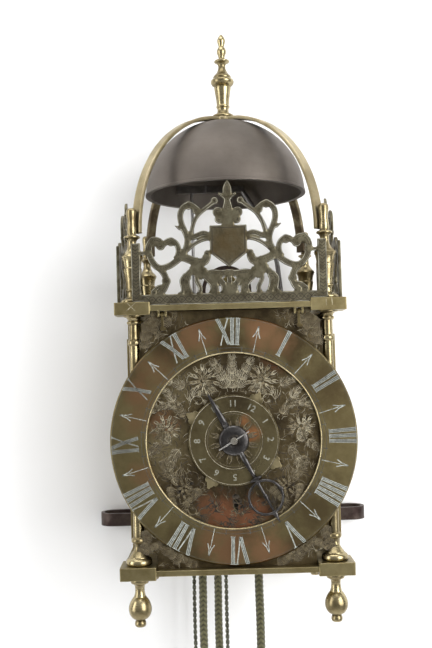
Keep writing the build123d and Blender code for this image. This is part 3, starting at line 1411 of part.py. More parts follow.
ring_line = 6.0
ring_wire = 1.8
with BuildPart() as rope_rings:
    for (x, y), top, cord in (
        (going_spots[0], rope_end, rope_radius),
        (strike_spots[1], rope_end - 8, rope_radius),
        (chain_spots[1], chain_end, chain_radius),
    ):
        with BuildSketch(Plane.XY.offset(top)):
            with Locations((x, y)):
                Circle(cord + 0.4)
        extrude(amount=-ferrule)
        middle = top - ferrule - ring_line - ring_wire + 0.6
        with BuildSketch(Plane(origin=(x + ring_line, y, middle), z_dir=(0, 0, 1))):
            Circle(ring_wire)
        revolve(axis=Axis((x, y, middle), (0, 1, 0)))
write(rope_rings.part, "rope_rings")
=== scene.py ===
from math import cos, pi, radians, sin, sqrt, tau

import bmesh
import bpy
import numpy as np
from mathutils import Matrix, Vector, kdtree


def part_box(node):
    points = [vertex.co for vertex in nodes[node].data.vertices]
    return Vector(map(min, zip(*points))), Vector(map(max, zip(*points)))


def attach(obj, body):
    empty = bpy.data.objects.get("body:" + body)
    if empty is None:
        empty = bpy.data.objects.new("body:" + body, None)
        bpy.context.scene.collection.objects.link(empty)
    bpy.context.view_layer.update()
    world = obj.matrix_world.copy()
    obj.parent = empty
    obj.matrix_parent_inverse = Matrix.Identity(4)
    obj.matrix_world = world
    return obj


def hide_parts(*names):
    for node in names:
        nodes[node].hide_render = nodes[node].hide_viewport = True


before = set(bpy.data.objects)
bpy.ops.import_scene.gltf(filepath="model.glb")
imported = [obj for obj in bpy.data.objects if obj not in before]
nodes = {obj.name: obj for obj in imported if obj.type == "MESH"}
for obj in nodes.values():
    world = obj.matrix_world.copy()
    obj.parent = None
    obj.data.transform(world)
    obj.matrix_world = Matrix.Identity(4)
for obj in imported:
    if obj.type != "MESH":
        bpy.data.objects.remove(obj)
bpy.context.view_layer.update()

# --- Camera, wall, floor and lamps ---
# The clock hangs on a plain white wall and is seen from a little below the bell.
# Places on it are given in millimetres from the middle of its plan and the underside
# of its bottom corner blocks: x to the right, y to the wall, z up.
plate_low, plate_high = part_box("bottom_plate")
plan_middle = ((plate_low[0] + plate_high[0]) / 2, (plate_low[1] + plate_high[1]) / 2)


def at(x, y, z):
    """A place on the clock, in the frame's metres."""
    return Vector((plan_middle[0] + x / 1000, plan_middle[1] + y / 1000, plate_low[2] + z / 1000))


eye = at(-9.849, -635.893, 134.605)
eye_yaw, eye_pitch, eye_roll = 0.0007, 0.04695, -0.02742
camera_data = bpy.data.cameras.new("camera")
camera_data.sensor_width = 36.0
camera_data.lens = 48.89
camera_data.clip_start = 0.02
camera = bpy.data.objects.new("camera", camera_data)
bpy.context.scene.collection.objects.link(camera)
camera.matrix_world = (
    Matrix.Translation(eye)
    @ Matrix.Rotation(-eye_yaw, 4, "Z")
    @ Matrix.Rotation(pi / 2 + eye_pitch, 4, "X")
    @ Matrix.Rotation(eye_roll, 4, "Z")
)
bpy.context.scene.camera = camera
bpy.context.scene.view_settings.view_transform = "Standard"


def plug(tree, node, inputs):
    """Sets a node's sockets to values or links them to outputs."""
    for socket, value in inputs.items():
        if isinstance(value, bpy.types.NodeSocket):
            tree.links.new(value, node.inputs[socket])
        else:
            node.inputs[socket].default_value = value


def add_node(tree, kind, inputs=None, **settings):
    """A shader node of that kind, with its settings made and its sockets filled."""
    made = tree.nodes.new("ShaderNode" + kind)
    for name, value in settings.items():
        setattr(made, name, value)
    plug(tree, made, inputs or {})
    return made


def math(tree, operation, *values):
    """The output of a Math node."""
    return add_node(tree, "Math", dict(enumerate(values)), operation=operation).outputs[0]


def ramp(tree, value, low, high, start=0.0, end=1.0, **settings):
    """A value carried from one span of numbers to another."""
    sockets = {0: value, 1: low, 2: high, 3: start, 4: end}
    return add_node(tree, "MapRange", sockets, **settings).outputs[0]


wall_gap = 0.4
wall_y = 95.5 + wall_gap
floor_z = -1150.0
room_half = 3000.0
room_height = 2600.0
floor_lift = 0.7         # glow that brings the far floor up to white for the eye


def white_paint(name, lift):
    """Plain white paint that is clear from behind and to lamps, and glows a little for the eye."""
    material = bpy.data.materials.new(name)
    material.use_nodes = True
    tree = material.node_tree
    tree.nodes.clear()
    path = add_node(tree, "LightPath")
    shown = math(tree, "MULTIPLY", path.outputs["Is Camera Ray"], lift)
    paint = add_node(tree, "BsdfDiffuse", {"Color": (0.8, 0.8, 0.8, 1)})
    glow = add_node(tree, "Emission", {"Color": (1, 1, 1, 1), "Strength": shown})
    lit = add_node(tree, "AddShader", {0: paint.outputs[0], 1: glow.outputs[0]})
    clear = add_node(tree, "BsdfTransparent")
    behind = add_node(tree, "NewGeometry").outputs["Backfacing"]
    open_way = math(tree, "MAXIMUM", behind, path.outputs["Is Shadow Ray"])
    surface = add_node(tree, "MixShader", {0: open_way, 1: lit.outputs[0], 2: clear.outputs[0]})
    add_node(tree, "OutputMaterial", {"Surface": surface.outputs[0]})
    return material


def plain_sheet(name, corners, lift):
    """A flat four-cornered sheet for the wall or the floor, outside the object."""
    mesh = bpy.data.meshes.new(name)
    mesh.from_pydata([at(*corner) for corner in corners], [], [(0, 1, 2, 3)])
    mesh.materials.append(white_paint(name + "_paint", lift))
    made = bpy.data.objects.new(name, mesh)
    bpy.context.scene.collection.objects.link(made)


edge, low, high = room_half, floor_z, floor_z + room_height
upright = [(-edge, wall_y, low), (edge, wall_y, low), (edge, wall_y, high), (-edge, wall_y, high)]
level = [(-edge, -edge, low), (edge, -edge, low), (edge, edge, low), (-edge, edge, low)]
plain_sheet("wall", upright, 0.0)
plain_sheet("floor", level, floor_lift)

world = bpy.data.worlds.new("studio")
bpy.context.scene.world = world
world.use_nodes = True
tree = world.node_tree
tree.nodes.clear()
path = add_node(tree, "LightPath")
direction = add_node(tree, "TexCoord").outputs["Generated"]
height = add_node(tree, "SeparateXYZ", {0: direction}).outputs["Z"]
room_light = ramp(tree, height, -0.6, 0.8, 0.16, 0.5)
studio_air = add_node(tree, "Background", {"Color": (1, 1, 1, 1), "Strength": room_light})
white_air = add_node(tree, "Background", {"Color": (1, 1, 1, 1), "Strength": 1.0})
seen = path.outputs["Is Camera Ray"]
surface = add_node(tree, "MixShader", {0: seen, 1: studio_air.outputs[0], 2: white_air.outputs[0]})
add_node(tree, "OutputWorld", {"Surface": surface.outputs[0]})

clock_middle = at(0, 0, 150)
lamps = {
    # name: (place in mm, width and height in m, watts, seen in polished metal)
    "right_softbox": ((1000, -1150, 420), (0.9, 1.2), 20.0, True),
    "wall_lamp": ((430, -1300, 190), (0.6, 0.8), 11.0, False),
    "left_softbox": ((-1250, -650, 260), (0.5, 1.4), 8.0, True),
    "top_softbox": ((-150, -500, 1350), (1.2, 0.6), 7.0, True),
    "back_lamp": ((500, 1500, 700), (1.0, 1.0), 12.0, True),
}
for name, (place, (wide, tall), watts, glossy) in lamps.items():
    lamp_data = bpy.data.lights.new(name, "AREA")
    lamp_data.shape = "RECTANGLE"
    lamp_data.size, lamp_data.size_y = wide, tall
    lamp_data.energy = watts
    lamp = bpy.data.objects.new(name, lamp_data)
    lamp.location = at(*place)
    lamp.rotation_euler = (clock_middle - lamp.location).to_track_quat("-Z", "Y").to_euler()
    lamp.visible_glossy = glossy
    bpy.context.scene.collection.objects.link(lamp)

# --- Ropes and the alarm chain ---
# Two plaited green ropes run over the sheaves of the trains and down through the bottom
# plate, and a linked brass chain over the alarm's. Each end carries a hook or a ring.
plate_underside = 2.25
rope_radius = 3.0
chain_radius = 1.6


def collect(name, mesh, body, material, stands_for, smooth=True):
    """Puts a finished mesh in the scene as a piece that rides on a body."""
    made = bpy.data.objects.new(name, mesh)
    bpy.context.scene.collection.objects.link(made)
    mesh.materials.append(material)
    if smooth:
        mesh.polygons.foreach_set("use_smooth", [True] * len(mesh.polygons))
    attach(made, body)
    if stands_for:
        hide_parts(*stands_for)
    return made


def strand_route(points):
    """The points along a smooth curve that has those places as its control points."""
    curve = bpy.data.curves.new("route", "CURVE")
    curve.dimensions = "3D"
    spline = curve.splines.new("NURBS")
    spline.points.add(len(points) - 1)
    for control, place in zip(spline.points, points):
        control.co = (*place, 1.0)
    spline.order_u = 3
    spline.use_endpoint_u = True
    holder = bpy.data.objects.new("route", curve)
    mesh = bpy.data.meshes.new_from_object(holder)
    line = [vertex.co.copy() for vertex in mesh.vertices]
    bpy.data.meshes.remove(mesh)
    bpy.data.curves.remove(curve)
    return line


def evenly(line, step):
    """The same line with its points about a step apart."""
    line = np.array(line)
    along = np.concatenate([[0], np.cumsum(np.linalg.norm(np.diff(line, axis=0), axis=1))])
    places = np.linspace(0, along[-1], max(2, round(along[-1] / step) + 1))
    return np.stack([np.interp(places, along, line[:, k]) for k in range(3)], axis=1), places


def tube_mesh(name, places):
    """A mesh over rows of places, each row closed on itself and the two end rows capped."""
    rows, cols = places.shape[:2]
    number = np.arange(rows * cols).reshape(rows, cols)
    beside = np.roll(number, -1, axis=1)
    faces = np.stack([number[:-1], beside[:-1], beside[1:], number[1:]], axis=-1)
    polygons = faces.reshape(-1, 4).tolist()
    polygons += [number[0, ::-1].tolist(), number[-1].tolist()]
    mesh = bpy.data.meshes.new(name)
    mesh.from_pydata(places.reshape(-1, 3).tolist(), [], polygons)
    mesh.update()
    return mesh


def plaited(name, line, radius):
    """A plaited cord: strands lean up to a seam on each of its four sides, like a herringbone."""
    row_step, around, strand_pitch, strand_lean, groove = 0.00045, 32, 1.1, 1.2, 0.24
    centres, along = evenly(line, row_step)
    ahead = np.gradient(centres, axis=0)
    ahead /= np.linalg.norm(ahead, axis=1, keepdims=True)
    side = np.cross(ahead, [0, 1, 0])
    side /= np.linalg.norm(side, axis=1, keepdims=True)
    other = np.cross(ahead, side)
    turn = np.linspace(0, tau, around, endpoint=False)
    from_seam = np.abs((turn / (pi / 2) + 1) % 2 - 1)
    strand = np.abs(np.cos(pi * (along[:, None] / (strand_pitch * radius) + strand_lean * from_seam)))
    crown = strand**0.8 * (0.75 + 0.25 * np.sin(pi * from_seam) ** 0.5)
    reach = radius * (1 - groove + groove * crown)
    outward = np.cos(turn)[:, None] * side[:, None] + np.sin(turn)[:, None] * other[:, None]
    mesh = tube_mesh(name, centres[:, None] + reach[..., None] * outward)
    crowns = mesh.attributes.new("crown", "FLOAT", "POINT")
    crowns.data.foreach_set("value", crown.reshape(-1))
    return mesh


def new_material(name):
    """A new material, with its node tree and its shader."""
    material = bpy.data.materials.new(name)
    material.use_nodes = True
    return material, material.node_tree, material.node_tree.nodes["Principled BSDF"]


def blotches(tree, place, scale, detail=5.0, rough=0.5):
    """Soft noise over the piece: its patches shrink as the scale grows."""
    sockets = {"Vector": place, "Scale": scale, "Detail": detail, "Roughness": rough}
    return add_node(tree, "TexNoise", sockets).outputs["Fac"]


def mix(tree, share, first, second):
    """The first colour turned towards the second; each is a socket or three numbers."""
    pair = [c if isinstance(c, bpy.types.NodeSocket) else (*c, 1) for c in (first, second)]
    return add_node(tree, "Mix", {0: share, 6: pair[0], 7: pair[1]}, data_type="RGBA").outputs[2]


def fibre(name, deep, crest):
    """Dry plaited cord: painted shade between the strands, paler and fuzzy on their crowns."""
    material, tree, shader = new_material(name)
    crown = add_node(tree, "Attribute", attribute_name="crown").outputs["Fac"]
    fuzz = blotches(tree, add_node(tree, "TexCoord").outputs["Object"], 520.0, 4.0)
    # The crown mask paints shade into the grooves between the strands; the fuzz adds random tone.
    second_tone_share = math(tree, "MULTIPLY", ramp(tree, crown, 0.3, 1.0), 0.7)
    second_tone_share = math(tree, "MULTIPLY_ADD", ramp(tree, fuzz, 0.35, 0.65), 0.35, second_tone_share)
    bump = add_node(tree, "Bump", {"Strength": 0.5, "Distance": 0.0003, "Height": fuzz}).outputs[0]
    skin = {"Base Color": mix(tree, second_tone_share, deep, crest), "Roughness": 0.85, "Normal": bump}
    plug(tree, shader, {**skin, "Sheen Weight": 0.25, "Sheen Roughness": 0.5})
    return material


green_cord = fibre("green_cord", (0.016, 0.015, 0.007), (0.125, 0.118, 0.055))
rope_runs = {
    # train: (left strand's x, right strand's x, y, sheave's height, lower end)
    "going": (-23.7, 15.7, -12.0, 45.0, -68.0),
    "strike": (-13.2, 17.2, 14.0, 45.0, -76.0),
}


def strand(x, y, bow, upper, lower, low_end):
    """The control points of a strand that hangs down, bowed a little one way and then the other."""
    places = ((x, plate_underside), (x + bow, upper), (x - bow, lower), (x, low_end))
    return [at(aside, y, z) for aside, z in places]


def over_sheave(left_x, right_x, y, top):
    """The way from the bottom plate up over a sheave and down to the plate again."""
    middle, radius = (left_x + right_x) / 2, (right_x - left_x) / 2
    bend = [at(middle - radius * cos(a), y, top + radius * sin(a)) for a in np.linspace(0, pi, 25)]
    return [at(left_x, y, plate_underside), *bend, at(right_x, y, plate_underside)]


for train, (left_x, right_x, rope_y, sheave_z, low_end) in rope_runs.items():
    for side, x, bow in (("left", left_x, 0.3), ("right", right_x, -0.25)):
        upper = 0.7 * plate_underside + 0.3 * low_end
        lower = 0.3 * plate_underside + 0.7 * low_end
        route = strand(x, rope_y, bow, upper, lower, low_end)
        line = strand_route(route)
        name = f"{train}_rope_{side}"
        stands_for = [f"{train}_rope"] if side == "left" else []
        rope = plaited(name, line, rope_radius / 1000)
        piece = collect(name, rope, "frame", green_cord, stands_for)
    name = f"{train}_rope_over_sheave"
    rope = plaited(name, over_sheave(left_x, right_x, rope_y, sheave_z), rope_radius / 1000)
    collect(name, rope, "frame", green_cord, ())


def linked(name, line, width):
    """A chain of soldered oval links, each turned a quarter round from the last."""
    wire, half_wide, half_long = width / 6, width / 3, 0.5 * width
    bends, facets = 24, 9    # steps round a link and round its wire
    aslant = [0.31, 0.95, 0.0]       # a direction that the chain never takes
    centres, _ = evenly(line, 2 * (half_long - wire))
    across = np.linspace(0, tau, facets, endpoint=False)[None, :, None]
    round_link = np.linspace(0, tau, bends, endpoint=False)[:, None]
    links = []
    for index, centre in enumerate(centres[1:-1]):
        ahead = centres[index + 2] - centres[index]
        ahead /= np.linalg.norm(ahead)
        side = np.cross(ahead, aslant)
        side /= np.linalg.norm(side)
        twist = pi / 2 * (index % 2) + 0.1
        flat = side * cos(twist) + np.cross(ahead, side) * sin(twist)
        normal = np.cross(ahead, flat)
        run = half_long - half_wide
        spine = half_wide * np.cos(round_link) * flat
        spine += (half_wide * np.sin(round_link) + run * np.sign(np.sin(round_link))) * ahead
        out = np.cos(round_link) * flat + np.sin(round_link) * ahead
        skin = np.cos(across) * out[:, None] + np.sin(across) * normal
        links.append(centre + spine[:, None] + wire * skin)
    number = np.arange(bends * facets).reshape(bends, facets)
    beside, after = np.roll(number, -1, axis=1), np.roll(number, -1, axis=0)
    faces = np.stack([number, beside, np.roll(beside, -1, axis=0), after], axis=-1)
    faces = [faces + number.size * index for index in range(len(links))]
    mesh = bpy.data.meshes.new(name)
    mesh.from_pydata(np.reshape(links, (-1, 3)).tolist(), [], np.reshape(faces, (-1, 4)).tolist())
    mesh.update()
    return mesh


def metal(name, pale, dull, patch, gloss, wear=0.35, brushed=(1.0, 1.0, 1.0), rounded=0.35, grime=0.0):
    """Worked metal: two tones in soft patches, uneven gloss, fine scratches and soft edges."""
    material, tree, shader = new_material(name)
    place = add_node(tree, "TexCoord").outputs["Object"]
    cloud = blotches(tree, place, patch, rough=0.6)
    spread = ramp(tree, cloud, 0.36, 0.66)
    colour = mix(tree, spread, pale, dull)
    if grime:
        nook = add_node(tree, "AmbientOcclusion", {"Distance": 0.004}, samples=6).outputs["AO"]
        nook = ramp(tree, nook, 0.25, 0.95, grime, 0.0)
        colour = mix(tree, nook, colour, [0.22 * channel for channel in dull])
    edge = add_node(tree, "Bevel", {"Radius": rounded / 1000}, samples=4).outputs[0]
    if rounded:
        true_normal = add_node(tree, "NewGeometry").outputs["Normal"]
        turn = add_node(tree, "VectorMath", {0: edge, 1: true_normal}, operation="DOT_PRODUCT")
        rubbed = ramp(tree, turn.outputs["Value"], 0.995, 0.86, 0.0, 0.75)
        rubbed = math(tree, "MULTIPLY", rubbed, math(tree, "SUBTRACT", 1.2, spread))
        colour = mix(tree, rubbed, colour, [min(1.0, 1.3 * channel + 0.04) for channel in pale])
    combed = add_node(tree, "Mapping", {"Vector": place, "Scale": brushed}).outputs[0]
    hair = blotches(tree, combed, 700.0, 3.0)
    sheen = math(tree, "MULTIPLY_ADD", hair, 0.3, math(tree, "MULTIPLY", cloud, 0.7))
    relief = {"Strength": wear, "Distance": 0.00012, "Height": hair, "Normal": edge}
    relief = add_node(tree, "Bump", relief).outputs[0]
    skin = {"Base Color": colour, "Roughness": ramp(tree, sheen, 0.3, 0.7, *gloss), "Normal": relief}
    plug(tree, shader, {**skin, "Metallic": 1.0})
    return material


def finish(material, *names):
    """Gives the frame's own pieces that material."""
    for name in names:
        slots = nodes[name].data.materials
        for index in range(len(slots)):
            slots[index] = material
        if not len(slots):
            slots.append(material)


chain_brass = metal("chain_brass", (0.22, 0.22, 0.16), (0.08, 0.08, 0.055), 300.0, (0.3, 0.5), grime=0.8)
chain_bow, chain_upper, chain_lower, chain_end = 0.2, -28.0, -62.0, -92.0
chain_y, chain_left, chain_right, chain_sheave_z = 62.0, -32.0, -7.0, 60.0
for side, x in (("left", chain_left), ("right", chain_right)):
    route = strand(x, chain_y, chain_bow, chain_upper, chain_lower, chain_end)
    line = strand_route(route)
    name = f"alarm_chain_{side}"
    stands_for = ["alarm_chain"] if side == "left" else []
    chain = linked(name, line, 2 * chain_radius / 1000)
    piece = collect(name, chain, "frame", chain_brass, stands_for)
name = "alarm_chain_over_sheave"
chain = linked(name, over_sheave(chain_left, chain_right, chain_y, chain_sheave_z), 2 * chain_radius / 1000)
collect(name, chain, "frame", chain_brass, ())

iron = metal("dark_iron", (0.11, 0.085, 0.075), (0.045, 0.03, 0.027), 80.0, (0.35, 0.6), 0.6, grime=0.4)
finish(iron, "weight_hooks")

# --- Frame plates ---
# Two brass plates, each cast in one with its four square corner blocks, filed flat and
# left with a dull olive skin. Setting-out strokes are scratched on two of the blocks.
frame_brass = metal(
    "frame_brass", (0.42, 0.35, 0.18), (0.22, 0.175, 0.08), 60.0, (0.26, 0.46), 0.3, (1.0, 1.0, 6.0), 0.6,
    grime=0.6,
)
finish(frame_brass, "top_plate", "bottom_plate")

# --- Pillars, feet and corner finials ---
# Four pillars stand between the plates, each with a ball foot under it and an urn finial over it.
# They are turned from cast brass and polished; the pillars' tenons screw into feet and finials.
turned_brass = metal(
    "turned_brass", (0.47, 0.395, 0.225), (0.19, 0.148, 0.074), 70.0, (0.2, 0.36), 0.2, (0.2, 0.2, 5.0), 0.3,
    grime=0.45,
)
for corner in ("front_left", "front_right", "rear_left", "rear_right"):
    finish(turned_brass, f"{corner}_pillar", f"{corner}_foot", f"{corner}_finial")
finish(turned_brass, "crown_finial", "rope_rings")

# --- Movement bars and trains ---
# Three upright brass bars are wedged through the plates and carry the pivots of the trains. The
# wheels are cut from cast brass, each in one piece with its arbor, and shown in brass all over.
# The hammers, the hammer's spring, the detent and the verge are forged steel.
wheel_brass = metal("wheel_brass", (0.55, 0.44, 0.2), (0.38, 0.29, 0.12), 50.0, (0.2, 0.4), 0.25, grime=0.5)
finish(
    wheel_brass, "front_bar", "middle_bar", "rear_bar", "bar_wedges", "verge_potences",
    "contrate_wheel", "crown_wheel", "hoop_wheel", "count_wheel", "alarm_wheel", "fly", "going_great_wheel",
    "strike_great_wheel", "pendulum_bob", "bell_nut",
)
steel = metal("worn_steel", (0.34, 0.33, 0.32), (0.15, 0.14, 0.135), 90.0, (0.25, 0.45), 0.3, grime=0.4)
finish(
    steel, "verge_pendulum", "strike_hammer", "hammer_spring", "strike_detent", "alarm_hammer", "fret_screws"
)

# --- Doors and back plate ---
# Thin sheet brass, hammered flat and left with a dull skin. The two side doors swing on pins at
# their back edge; the back plate closes the case behind the trains.
sheet_brass = metal("sheet_brass", (0.48, 0.39, 0.2), (0.3, 0.23, 0.1), 30.0, (0.3, 0.5), 0.3, grime=0.4)
finish(sheet_brass, "left_door", "right_door", "back_plate")

# --- Ironwork at the back ---
# The hoop that hangs the clock from its hook and the strap that stands it off the wall are
# forged from flat iron bar, bent hot and riveted to the back plate.
finish(iron, "hanging_hoop", "standoff_strap", "back_rivets")

# --- Dial plate ---
# Sheet brass, engraved all over with flowers and leaves on a dark, matted ground. Each cut is
# a swelling furrow laid into the face of the plate: a strip of painted shade set a little down
# and to the right, under a bright or dim strip of painted highlight.
dial_height = 86.3
dial_front = -66.6
shade_shift = (0.2, -0.24)
carver = np.random.default_rng(7)
cuts = []                # every cut: its points, its width in mm and how bright it is


def on_dial(x, z, y):
    """A place on the dial, from its middle: x to the right, z up, y to the wall from the clock's middle."""
    return at(x, y, dial_height + z)


def cut(points, width, bright):
    """One engraved cut along those points."""
    cuts.append((np.asarray(points, float), width, bright))


def bowed(x, z, heading, long, bow, count=8):
    """Points of a cut that starts at a place, sets off at a heading in degrees and bows by that many."""
    headings = radians(heading) + radians(bow) * np.linspace(0, 1, count)[:-1]
    steps = long / (count - 1) * np.stack([np.cos(headings), np.sin(headings)], axis=1)
    return np.array([x, z]) + np.concatenate([[(0, 0)], np.cumsum(steps, axis=0)])


def circle(radius, x=0.0, z=0.0, count=361):
    """Points round a circle."""
    around = np.linspace(0, tau, count)
    return np.stack([x + radius * np.cos(around), z + radius * np.sin(around)], axis=1)


def petal(x, z, heading, long, fat, bright):
    """A petal: two bowed edges that meet at its tip, with hatching cuts between them."""
    for side in (-1, 1):
        cut(bowed(x, z, heading + side * fat, long, -side * 2 * fat), 0.5, bright)
    for share in (-0.66, -0.33, 0, 0.33, 0.66):
        reach = long * carver.uniform(0.4, 0.85)
        tone = bright * carver.uniform(0.5, 1.0)
        cut(bowed(x, z, heading + share * fat, reach, -share * fat), 0.34, tone)


def flower(x, z, radius, petals, turn, bright):
    """A full-blown flower: three rings of short round petals that overlap round a hatched heart."""
    for ring, inner in enumerate((0.55, 0.3, 0.1)):
        for index in range(petals - 2 * ring):
            heading = turn + 360 * (index + 0.5 * ring) / (petals - 2 * ring)
            root_x = x + inner * radius * cos(radians(heading))
            root_z = z + inner * radius * sin(radians(heading))
            heading += carver.uniform(-12, 12)
            petal(root_x, root_z, heading, 0.45 * radius, 34, bright * carver.uniform(0.35, 1.0))
    cut(circle(0.16 * radius, x, z, 15), 0.4, bright)


def leaf(x, z, heading, long, bow, bright, lobes=4):
    """An acanthus leaf: a bowed rib with hatched lobes that shorten towards its tip."""
    rib = bowed(x, z, heading, long, bow, 4 * lobes + 1)
    cut(rib, 0.5, 0.8 * bright)
    for index in range(lobes):
        root = rib[4 * index + 2]
        ahead = heading + bow * (4 * index + 2) / (4 * lobes)
        size = 0.48 * long * (1 - 0.55 * index / lobes)
        for side in (-1, 1):
            for spread, share in ((22, 1.0), (36, 0.92), (50, 0.8), (66, 0.66), (84, 0.5)):
                tone = bright * carver.uniform(0.45, 1.0)
                cut(bowed(*root, ahead + side * spread, size * share, -side * 55, 7), 0.38, tone)


def scroll(x, z, heading, long, wind, bright):
    """A stem that winds up more and more tightly to a bud, with leaves springing from its back."""
    count = 30
    headings = radians(heading) + radians(wind) * np.linspace(0, 1, count) ** 1.8
    steps = long / count * np.stack([np.cos(headings), np.sin(headings)], axis=1)
    stem = np.array([x, z]) + np.cumsum(steps, axis=0)
    cut(stem, 0.6, bright)
    side = 1 if wind > 0 else -1
    for place, share in ((4, 0.36), (9, 0.34), (14, 0.26), (20, 0.18)):
        bearing = np.degrees(headings[place])
        for spread in (20, 36, 52, 70):
            cut(bowed(*stem[place], bearing - side * spread, share * long, side * 45, 7), 0.38, bright)
    for turn in range(0, 360, 60):
        cut(bowed(*stem[-1], turn, 1.4, 30, 4), 0.4, bright)


def stray(x, z, strength):
    """A short bowed cut that heads anywhere."""
    heading, long, bow = carver.uniform(0, 360), carver.uniform(2, 6), carver.uniform(-150, 150)
    cut(bowed(x, z, heading, long, bow, 6), 0.34, strength)


def grow(side, *rows):
    """Leaves and scrolls: rows of (kind, x, z, lean outwards from upright, length, bow, brightness)."""
    for kind, x, z, lean, long, bow, *rest in rows:
        kind(side * x, z, 90 - side * lean, long, side * bow, *rest)


for side in (-1, 1):
    # The centre, inside the chapter ring: flowers above and at the sides, leaves between.
    flower(side * 19.0, 38.5, 11.5, 11, 90, 1.0)
    flower(side * 43.5, 8.0, 9.5, 10, 90 - side * 90, 0.9)
    grow(
        side,
        (leaf, 40.0, -2.0, 60, 15, 60, 0.8), (leaf, 47.0, 1.0, 150, 16, 50, 0.7),
        (leaf, 37.5, 24.0, 20, 16, -50, 0.8),
    )
    flower(side * 33.0, -30.0, 7.5, 9, 30, 0.42)
    grow(
        side,
        (leaf, 3.0, 31.0, 14, 22, -24, 1.0), (leaf, 29.5, 33.0, 50, 17, -40, 0.95),
        (leaf, 33.0, 21.0, 60, 16, -60, 0.8), (leaf, 31.5, 14.0, 10, 14, -60, 0.6),
        (leaf, 34.0, -4.0, 130, 17, -50, 0.75), (leaf, 46.0, -9.0, 190, 18, -30, 0.6),
        (leaf, 10.0, 30.5, 60, 13, 40, 0.7, 3), (leaf, 53.0, 17.0, -20, 14, -30, 0.7),
        (leaf, 22.0, -29.0, 150, 15, 30, 0.4), (leaf, 41.0, -27.0, 170, 14, -40, 0.45),
        (scroll, 28.0, 22.0, -10, 20, 300, 0.6), (scroll, 34.0, -12.0, 170, 24, 330, 0.55),
        (scroll, 27.0, -38.0, 130, 19, -330, 0.4), (scroll, 51.0, 20.0, 20, 15, 320, 0.6),
        # The corners, outside the ring: leaves above, shells of close cuts below.
        (leaf, 36.0, 79.5, 110, 20, 20, 0.55), (leaf, 55.0, 58.0, 10, 20, 30, 0.5),
        (leaf, 47.0, 69.0, 40, 15, 60, 0.5), (scroll, 42.0, 74.0, 30, 22, 320, 0.5),
        (scroll, 50.0, 64.0, -20, 16, -300, 0.5), (leaf, 24.0, -80.0, 78, 14, 40, 0.5),
        (leaf, 34.0, -77.5, 62, 18, 40, 0.5), (leaf, 57.0, -54.0, 178, 20, 36, 0.55, 5),
        (leaf, 42.0, -73.0, 40, 18, 70, 0.55, 5), (leaf, 45.0, -66.0, 80, 14, -60, 0.5),
    )
leaf(0.0, 31.0, 90, 23, 0, 1.0, 5)
leaf(0.0, -33.0, -90, 12, 0, 0.19)
# A running scroll fills the foot of the centre.
for index in range(6):
    x = -25.0 + 9.0 * index
    sink = 3.5 * sin(pi * (index + 0.5) / 6)
    scroll(x, -44.5 - sink, 40 if index % 2 else -40, 17, 400 if index % 2 else -400, 0.19)
# Stray leaves wander over whatever ground is left.
for _ in range(640):
    angle, radius = carver.uniform(0, tau), 55 * sqrt(carver.uniform(0.28, 1))
    x, z = radius * cos(angle), radius * sin(angle)
    stray(x, z, carver.uniform(0.0, 0.75) * (1.0 if z > -20 else 0.6))
for _ in range(420):
    x, z = carver.uniform(26, 57) * carver.choice([-1, 1]), carver.uniform(50, 82) * carver.choice([-1, 1])
    if abs(z) <= 71 or abs(x) <= 48:
        stray(x, z, carver.uniform(0.2, 0.7))


def furrows(name, cuts, place, front, proud, deep=0.25, shift=(0.0, 0.0), swell=True):
    """Closed strips along cuts on a flat face, from just over it to just under it."""
    places, faces = [], []
    for points, width, _ in cuts:
        count = len(points)
        run = np.gradient(points, axis=0)
        run /= np.maximum(np.linalg.norm(run, axis=1, keepdims=True), 1e-9)
        side = np.stack([-run[:, 1], run[:, 0]], axis=1)
        share = np.sin(pi * np.linspace(0.06, 0.94, count)) ** 0.6 if swell else np.ones(count)
        half = 0.5 * width * share[:, None] * side
        first = len(places)
        for level in (front - proud, front + deep):
            for edge in (points + shift - half, points + shift + half):
                places += [place(x, z, level) for x, z in edge]
        low, high, rear_low, rear_high = (first + step * count for step in range(4))
        for k in range(count - 1):
            for a, b in ((low, high), (high, rear_high), (rear_high, rear_low), (rear_low, low)):
                faces.append((a + k, a + k + 1, b + k + 1, b + k))
        faces.append((low, high, rear_high, rear_low))
        faces.append([corner + count - 1 for corner in (rear_low, rear_high, high, low)])
    mesh = bpy.data.meshes.new(name)
    mesh.from_pydata(places, [], faces)
    works = bmesh.new()
    works.from_mesh(mesh)
    bmesh.ops.recalc_face_normals(works, faces=works.faces)
    works.to_mesh(mesh)
    works.free()
    return mesh


def rub(material, centres, colour):
    """Tints a metal in soft ragged spots, stains on some pieces and painted shade or painted reflections on
    others: each a middle, a radius in m and a strength.
    """
    tree = material.node_tree
    shader = tree.nodes["Principled BSDF"]
    old = shader.inputs["Base Color"].links[0].from_socket
    place = add_node(tree, "TexCoord").outputs["Object"]
    ragged = blotches(tree, place, 90.0, rough=0.65)
    share = 0.0
    for middle, radius, strength in centres:
        away = add_node(tree, "VectorMath", {0: place, 1: tuple(middle)}, operation="DISTANCE")
        uneven = math(tree, "MULTIPLY_ADD", ragged, 1.6 * radius, -0.8 * radius)
        away = math(tree, "ADD", away.outputs["Value"], uneven)
        spot = ramp(tree, away, 0.1 * radius, radius, strength, 0.0, interpolation_type="SMOOTHSTEP")
        share = math(tree, "MAXIMUM", share, spot)
    plug(tree, shader, {"Base Color": mix(tree, share, old, colour)})


def stain(material, front, colour, *spots):
    """Tints a face that stands parallel to the dial in spots of (x, z, radius in mm, strength): stains,
    painted shade or painted reflections.
    """
    rub(material, [(on_dial(x, z, front), size / 1000, share) for x, z, size, share in spots], colour)


